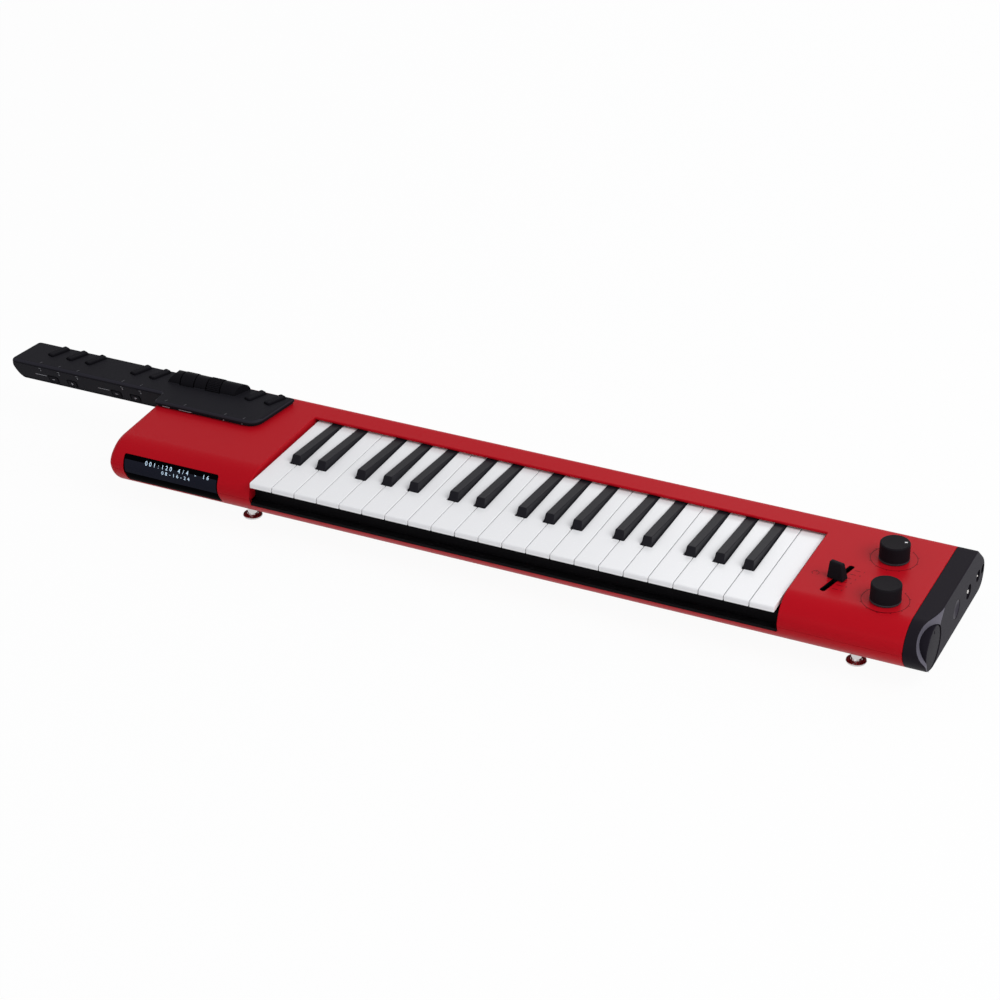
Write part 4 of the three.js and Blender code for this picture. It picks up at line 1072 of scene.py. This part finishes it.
def neck_upper():
    arm = arm_solid(CASE_LEFT - 0.3)
    keep(arm, block(ARM_TIP - 9, 0, 0, 200, NECK_SEAM + 0.3, RIM_Z + 0.5))
    link = arm_solid(CASE_LEFT + 6)
    keep(link, block(CASE_LEFT - 8, CASE_LEFT + 6, 0, 200, PLATE_UNDER, RIM_Z + 0.45))
    weld(arm, link)
    weld(arm, prism(plate_plan(0.03), "Z", PLATE_UNDER + 1.6, RIM_Z + 0.4))
    weld(arm, prism(plate_plan(0.9), "Z", PLATE_UNDER, PLATE_UNDER + 1.9))
    slab = prism(neck_plan(), "Z", RIM_Z, NECK_TOP)
    weld(arm, round_edges(slab, lambda p: abs(p.z - NECK_TOP) < 0.01, RIM_ROUND, 6))
    weld(arm, hump_solid())
    for left in ROLLERS.values():
        reach = ROLLER_RADIUS + 0.35
        carve(arm, block(left, left + ROLLER_WIDTH, HUMP[0] - reach, HUMP[0] + reach, 4.0, NECK_TOP + 12))
    for places in BARS.values():
        for x in places:
            carve(arm, bar_tool(x, BAR_WELL_GAP, NECK_TOP - BAR_WELL_DEPTH, NECK_TOP + 3))
    for centre in FACE_PAIRS.values():
        for side in (-1, 1):
            recess = prism(rounded_plan(*RECESS_SIZE, RECESS_CORNER, (0, 0), 0), "Z", -RECESS_DEPTH, 4)
            recess.data.transform(face_matrix(centre + side * BUTTON_HALF_PITCH))
            carve(arm, recess)
    return soften(arm, 0.25, 2, 45)


def hump_solid():
    left, right = HUMP_ENDS
    high = HUMP[1] + HUMP_RADIUS
    body = rod(HUMP_RADIUS, along_x(0, *HUMP), left - 4, right + 9, 128)
    side = [(left - 0.6, 4.1), (left - 0.6, 9.0)]
    side += bend((left - 0.6, 9.0), (left + 2.8, high - 0.2), (left + 7.4, high + 0.6), 12)[1:]
    side += [(right + 8.7, high + 1.5), (right + 8.7, 4.1)]
    keep(body, prism(side, "Y", HUMP[0] - 20, HUMP[0] + 20))
    lean = 18 * tan(-BAR_TURN)
    plan = [(left - 9, HUMP[0] - 18), (left - 9, HUMP[0] + 18), (right + lean, HUMP[0] + 18),
            (right - lean, HUMP[0] - 18)]
    keep(body, prism(plan, "Z", 0, 20))
    return body


def neck_zone(centre, normal):
    """Index of the material: hump 1, rounded front edge 2 with its painted highlight, all else 0."""
    in_hump = abs(centre.y - HUMP[0]) < 10 and HUMP_ENDS[0] - 2 < centre.x < HUMP_ENDS[1] + 10.4
    if in_hump and centre.z > NECK_TOP + 0.15:
        return 1
    return 2 if centre.z > RIM_Z and 0.25 < normal.z < 0.97 and normal.y < -0.1 else 0


settle("neck_top_shell", neck_upper(), neck_black, BODY, "neck_black", "neck_upper_shell", sharp=40,
       extras=[roller_black, neck_edge_painted_highlight], zone=neck_zone)

neck_under = arm_solid(CASE_LEFT - 0.3)
keep(neck_under, block(ARM_TIP - 9, 0, 0, 200, ARM_BOTTOM - 5, NECK_SEAM))
for screw_x in (-262, -205, -148):
    carve(neck_under, rod(2.6, at(screw_x, 107), ARM_BOTTOM - 3, ARM_BOTTOM + 1.2, 32))
soften(neck_under, 0.3, 2, 38)
settle("neck_under_shell", neck_under, neck_black, BODY, "neck_black", "neck_lower_shell", sharp=40)

for node, places in BARS.items():
    ribs = []
    for x in places:
        rib = bar_tool(x, 0, NECK_TOP - BAR_DEPTH, NECK_TOP + BAR_RISE)
        ribs.append(round_edges(rib, lambda p: p.z > NECK_TOP, BAR_ROUND, 5))
    settle(node + "_ribs", join(ribs), bar_rubber, node, "bar_grey", node, sharp=50)

for node, left in ROLLERS.items():
    radius = ROLLER_RADIUS
    if node == "pitch_roller":
        side = ROLLER_WIDTH - ROLLER_CLEAR
        profile = [(0, ROLLER_CLEAR), (radius - 0.5, ROLLER_CLEAR), (radius, ROLLER_CLEAR + 0.5),
                   (radius, side - 0.5), (radius - 0.5, side), (0, side)]
        wheel = lathe(profile, 128, along_x(left, *HUMP))
    else:
        outline = []
        for i in range(RIB_POINTS):
            r = radius - (RIB_DEPTH if i % 4 in (0, 1) else 0.0)
            a = 2 * pi * i / RIB_POINTS
            outline.append((HUMP[0] + r * cos(a), HUMP[1] + r * sin(a)))
        wheel = prism(outline, "X", left + ROLLER_CLEAR, left + ROLLER_WIDTH - ROLLER_CLEAR)
        soften(wheel, 0.12, 2, 40)
    weld(wheel, rod(2, along_x(left, *HUMP), -3.2, ROLLER_WIDTH + 3.2))
    settle(node + "_wheel", wheel, roller_black, node, "roller_black", node)

for node, centre in FACE_PAIRS.items():
    caps = []
    for side in (-1, 1):
        cap = prism(rounded_plan(*BUTTON_SIZE, BUTTON_CORNER, (0, 0), 0), "Z", -BUTTON_DEPTH, BUTTON_RISE)
        round_edges(cap, lambda p: p.z > BUTTON_RISE - 0.05, BUTTON_ROUND, 4)
        cap.data.transform(face_matrix(centre + side * BUTTON_HALF_PITCH))
        caps.append(cap)
    settle(node + "_caps", join(caps), bar_rubber, node, "button_grey", node, sharp=50)


# Printed marks

PRINT_LOW = 0.01
PRINT_HIGH = 0.05
RING_RADIUS = 17.5
TICK_RADIUS = 18.9
RING_START = -235
RING_END = 55
TICKS = 11
BAR_MARKS = (-250.7, -232.6, -214.6, -170.8, -153.0)
PLATE_MARKS = (-64.6, -47.4)
ROLLER_MARKS = (-120.4, -102.4)


class Print:
    """Thin flat strokes and figures on one plane, gathered into one piece."""

    def __init__(self, matrix):
        self.matrix = matrix
        self.parts = []

    def stroke(self, u0, v0, u1, v1, width):
        run = Vector((u1 - u0, v1 - v0))
        side = Vector((-run.y, run.x)).normalized() * width / 2
        corners = [(u0 + side.x, v0 + side.y), (u0 - side.x, v0 - side.y), (u1 - side.x, v1 - side.y),
                   (u1 + side.x, v1 + side.y)]
        self.parts.append(prism(corners, "Z", PRINT_LOW, PRINT_HIGH))

    def ring(self, u, v, radius, width, start, end):
        outer = arc(u, v, radius + width / 2, radius + width / 2, start, end, 40)
        inner = arc(u, v, radius - width / 2, radius - width / 2, end, start, 40)
        self.parts.append(prism(outer + inner, "Z", PRINT_LOW, PRINT_HIGH))

    def number(self, text, u, v, size):
        piece = figures(text, size)
        piece.data.transform(at(u, v, PRINT_HIGH))
        self.parts.append(piece)

    def piece(self):
        whole = join(self.parts)
        whole.data.transform(self.matrix)
        return whole


top_print = Print(at(0, 0, CASE_TOP))
for x, y in KNOBS.values():
    top_print.ring(x, y, RING_RADIUS, 0.4, RING_START, RING_END)
    for i in range(TICKS):
        a = radians(RING_START + (RING_END - RING_START) * i / (TICKS - 1))
        ends = [(x + r * cos(a), y + r * sin(a)) for r in (RING_RADIUS, TICK_RADIUS)]
        top_print.stroke(*ends[0], *ends[1], 0.4)
for i in range(6):
    v = 36 + i * 6.1
    u = SLOT_CENTRE[0] + (v - SLOT_CENTRE[1]) * tan(-SLOT_TURN)
    top_print.stroke(u + 4.5, v, u + 9, v, 0.45)
    top_print.number(str(6 - i), u + 12, v, 2.6)
# Power sign
top_print.ring(446, 52, 2.6, 0.35, -60, 240)
top_print.stroke(446, 53, 446, 56, 0.35)
settle("panel_print", top_print.piece(), dark_print, BODY, "chassis_black")

neck_ticks = Print(at(0, 0, NECK_TOP))
for x in BAR_MARKS:
    neck_ticks.stroke(x - 0.4, 89.9, x + 0.5, 92.4, 0.35)
for x in ROLLER_MARKS + PLATE_MARKS:
    neck_ticks.stroke(x - 0.4, 75.0, x + 0.5, 77.5, 0.35)
settle("neck_ticks", neck_ticks.piece(), faint_print, BODY, "key_white")

face_print = Print(face_matrix(0))
for n, x in enumerate(BAR_MARKS, 1):
    face_print.stroke(x - 1.1, 11.2, x + 1.1, 11.2, 0.25)
    face_print.number(str(n), x, 8.5, 2.8)
for centre in FACE_PAIRS.values():
    face_print.stroke(centre - 26.5, 2.6, centre - 15.5, 2.6, 0.4)
settle("neck_face_print", face_print.piece(), pale_print, BODY, "key_white")

plate_print = Print(at(0, PLATE_FRONT, 5.7) @ Matrix.Rotation(pi / 2, 4, "X"))
for n, x in enumerate(PLATE_MARKS, 6):
    plate_print.number(str(n), x, 0, 2.0)
for x, length in ((-118.4, 7), (-100.4, 12)):
    plate_print.stroke(x - length / 2, 0, x + length / 2, 0, 0.4)
settle("plate_print", plate_print.piece(), pale_print, BODY, "key_white")

for node, centre in FACE_PAIRS.items():
    signs = Print(face_matrix(0) @ at(0, 0, BUTTON_RISE))
    for x, plus in ((centre - BUTTON_HALF_PITCH, False), (centre + BUTTON_HALF_PITCH, True)):
        signs.stroke(x - 1.2, 0, x + 1.2, 0, 0.5)
        if plus:
            signs.stroke(x, -1.2, x, 1.2, 0.5)
    settle(node + "_signs", signs.piece(), pale_print, node, "key_white")

# Materials of the solids that stay
for node, material in (("key_chassis", chassis_black), ("main_board", board)):
    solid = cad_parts[node]
    solid.data.materials.clear()
    solid.data.materials.append(material)

# Floor, backdrop and light
floor_mesh = bpy.data.meshes.new("floor")
FLOOR_REACH = 30.0
floor_corners = [(u * FLOOR_REACH, v * FLOOR_REACH, 0) for u, v in ((-1, -1), (1, -1), (1, 1), (-1, 1))]
floor_mesh.from_pydata(floor_corners, [], [(0, 1, 2, 3)])
floor = add_object("floor", floor_mesh)
floor.location.z = cad_low[2] - 0.0002


def seen_directly(tree):
    """1 for a ray from the camera, a reflection or a transparency, and 0 for a diffuse one."""
    rays = add_node(tree, "LightPath")
    source, output = rays, "Is Camera Ray"
    for kind in ("Is Glossy Ray", "Is Transmission Ray"):
        larger = add_node(tree, "Math")
        larger.operation = "MAXIMUM"
        connect(tree, (source, output, larger, 0), (rays, kind, larger, 1))
        source, output = larger, 0
    return larger


# The floor shows white to the camera, but takes a shadow and bounces light like a matte one
FLOOR_GLOW = 0.95
floor_material = bpy.data.materials.new("floor")
floor_material.use_nodes = True
tree = floor_material.node_tree
tree.nodes.clear()
out = add_node(tree, "OutputMaterial")
matte = add_node(tree, "BsdfDiffuse", Color=(0.86, 0.86, 0.86, 1))
glow = add_node(tree, "Emission", Strength=1.0)
mix = add_node(tree, "MixShader")
share = add_node(tree, "Math")
share.operation = "MULTIPLY"
share.inputs[1].default_value = FLOOR_GLOW
connect(tree, (seen_directly(tree), 0, share, 0), (share, 0, mix, "Fac"), (matte, 0, mix, 1),
        (glow, 0, mix, 2), (mix, 0, out, "Surface"))
floor_mesh.materials.append(floor_material)

# White behind everything, and a weaker and cooler fill on matte surfaces
world = bpy.data.worlds.new("studio")
scene.world = world
world.use_nodes = True
sky = world.node_tree
sky.nodes.clear()
sky_out = add_node(sky, "OutputWorld")
backdrop = add_node(sky, "Background", Color=(1, 1, 1, 1), Strength=1.0)
fill = add_node(sky, "Background", Color=(0.95, 0.96, 1.0, 1), Strength=0.55)
sky_mix = add_node(sky, "MixShader")
connect(sky, (seen_directly(sky), 0, sky_mix, "Fac"), (fill, 0, sky_mix, 1), (backdrop, 0, sky_mix, 2),
        (sky_mix, 0, sky_out, "Surface"))


def softbox(name, place, target, size, power):
    data = bpy.data.lights.new(name, "AREA")
    data.shape = "RECTANGLE"
    data.size, data.size_y = size
    data.energy = power
    lamp = add_object(name, data)
    lamp.location = place
    lamp.rotation_mode = "QUATERNION"
    lamp.rotation_quaternion = (Vector(target) - Vector(place)).to_track_quat("-Z", "Y")


softbox("key_light", (1.9, -0.3, 1.8), (0.2, 0, 0), (1.6, 1.4), 30)
softbox("front_light", (0.2, -2.4, 1.0), (0.2, 0, 0), (1.8, 0.9), 5)
softbox("rear_light", (0.3, 2.2, 1.4), (0.2, 0, 0), (2.0, 0.8), 10)

scene.view_settings.view_transform = "Standard"
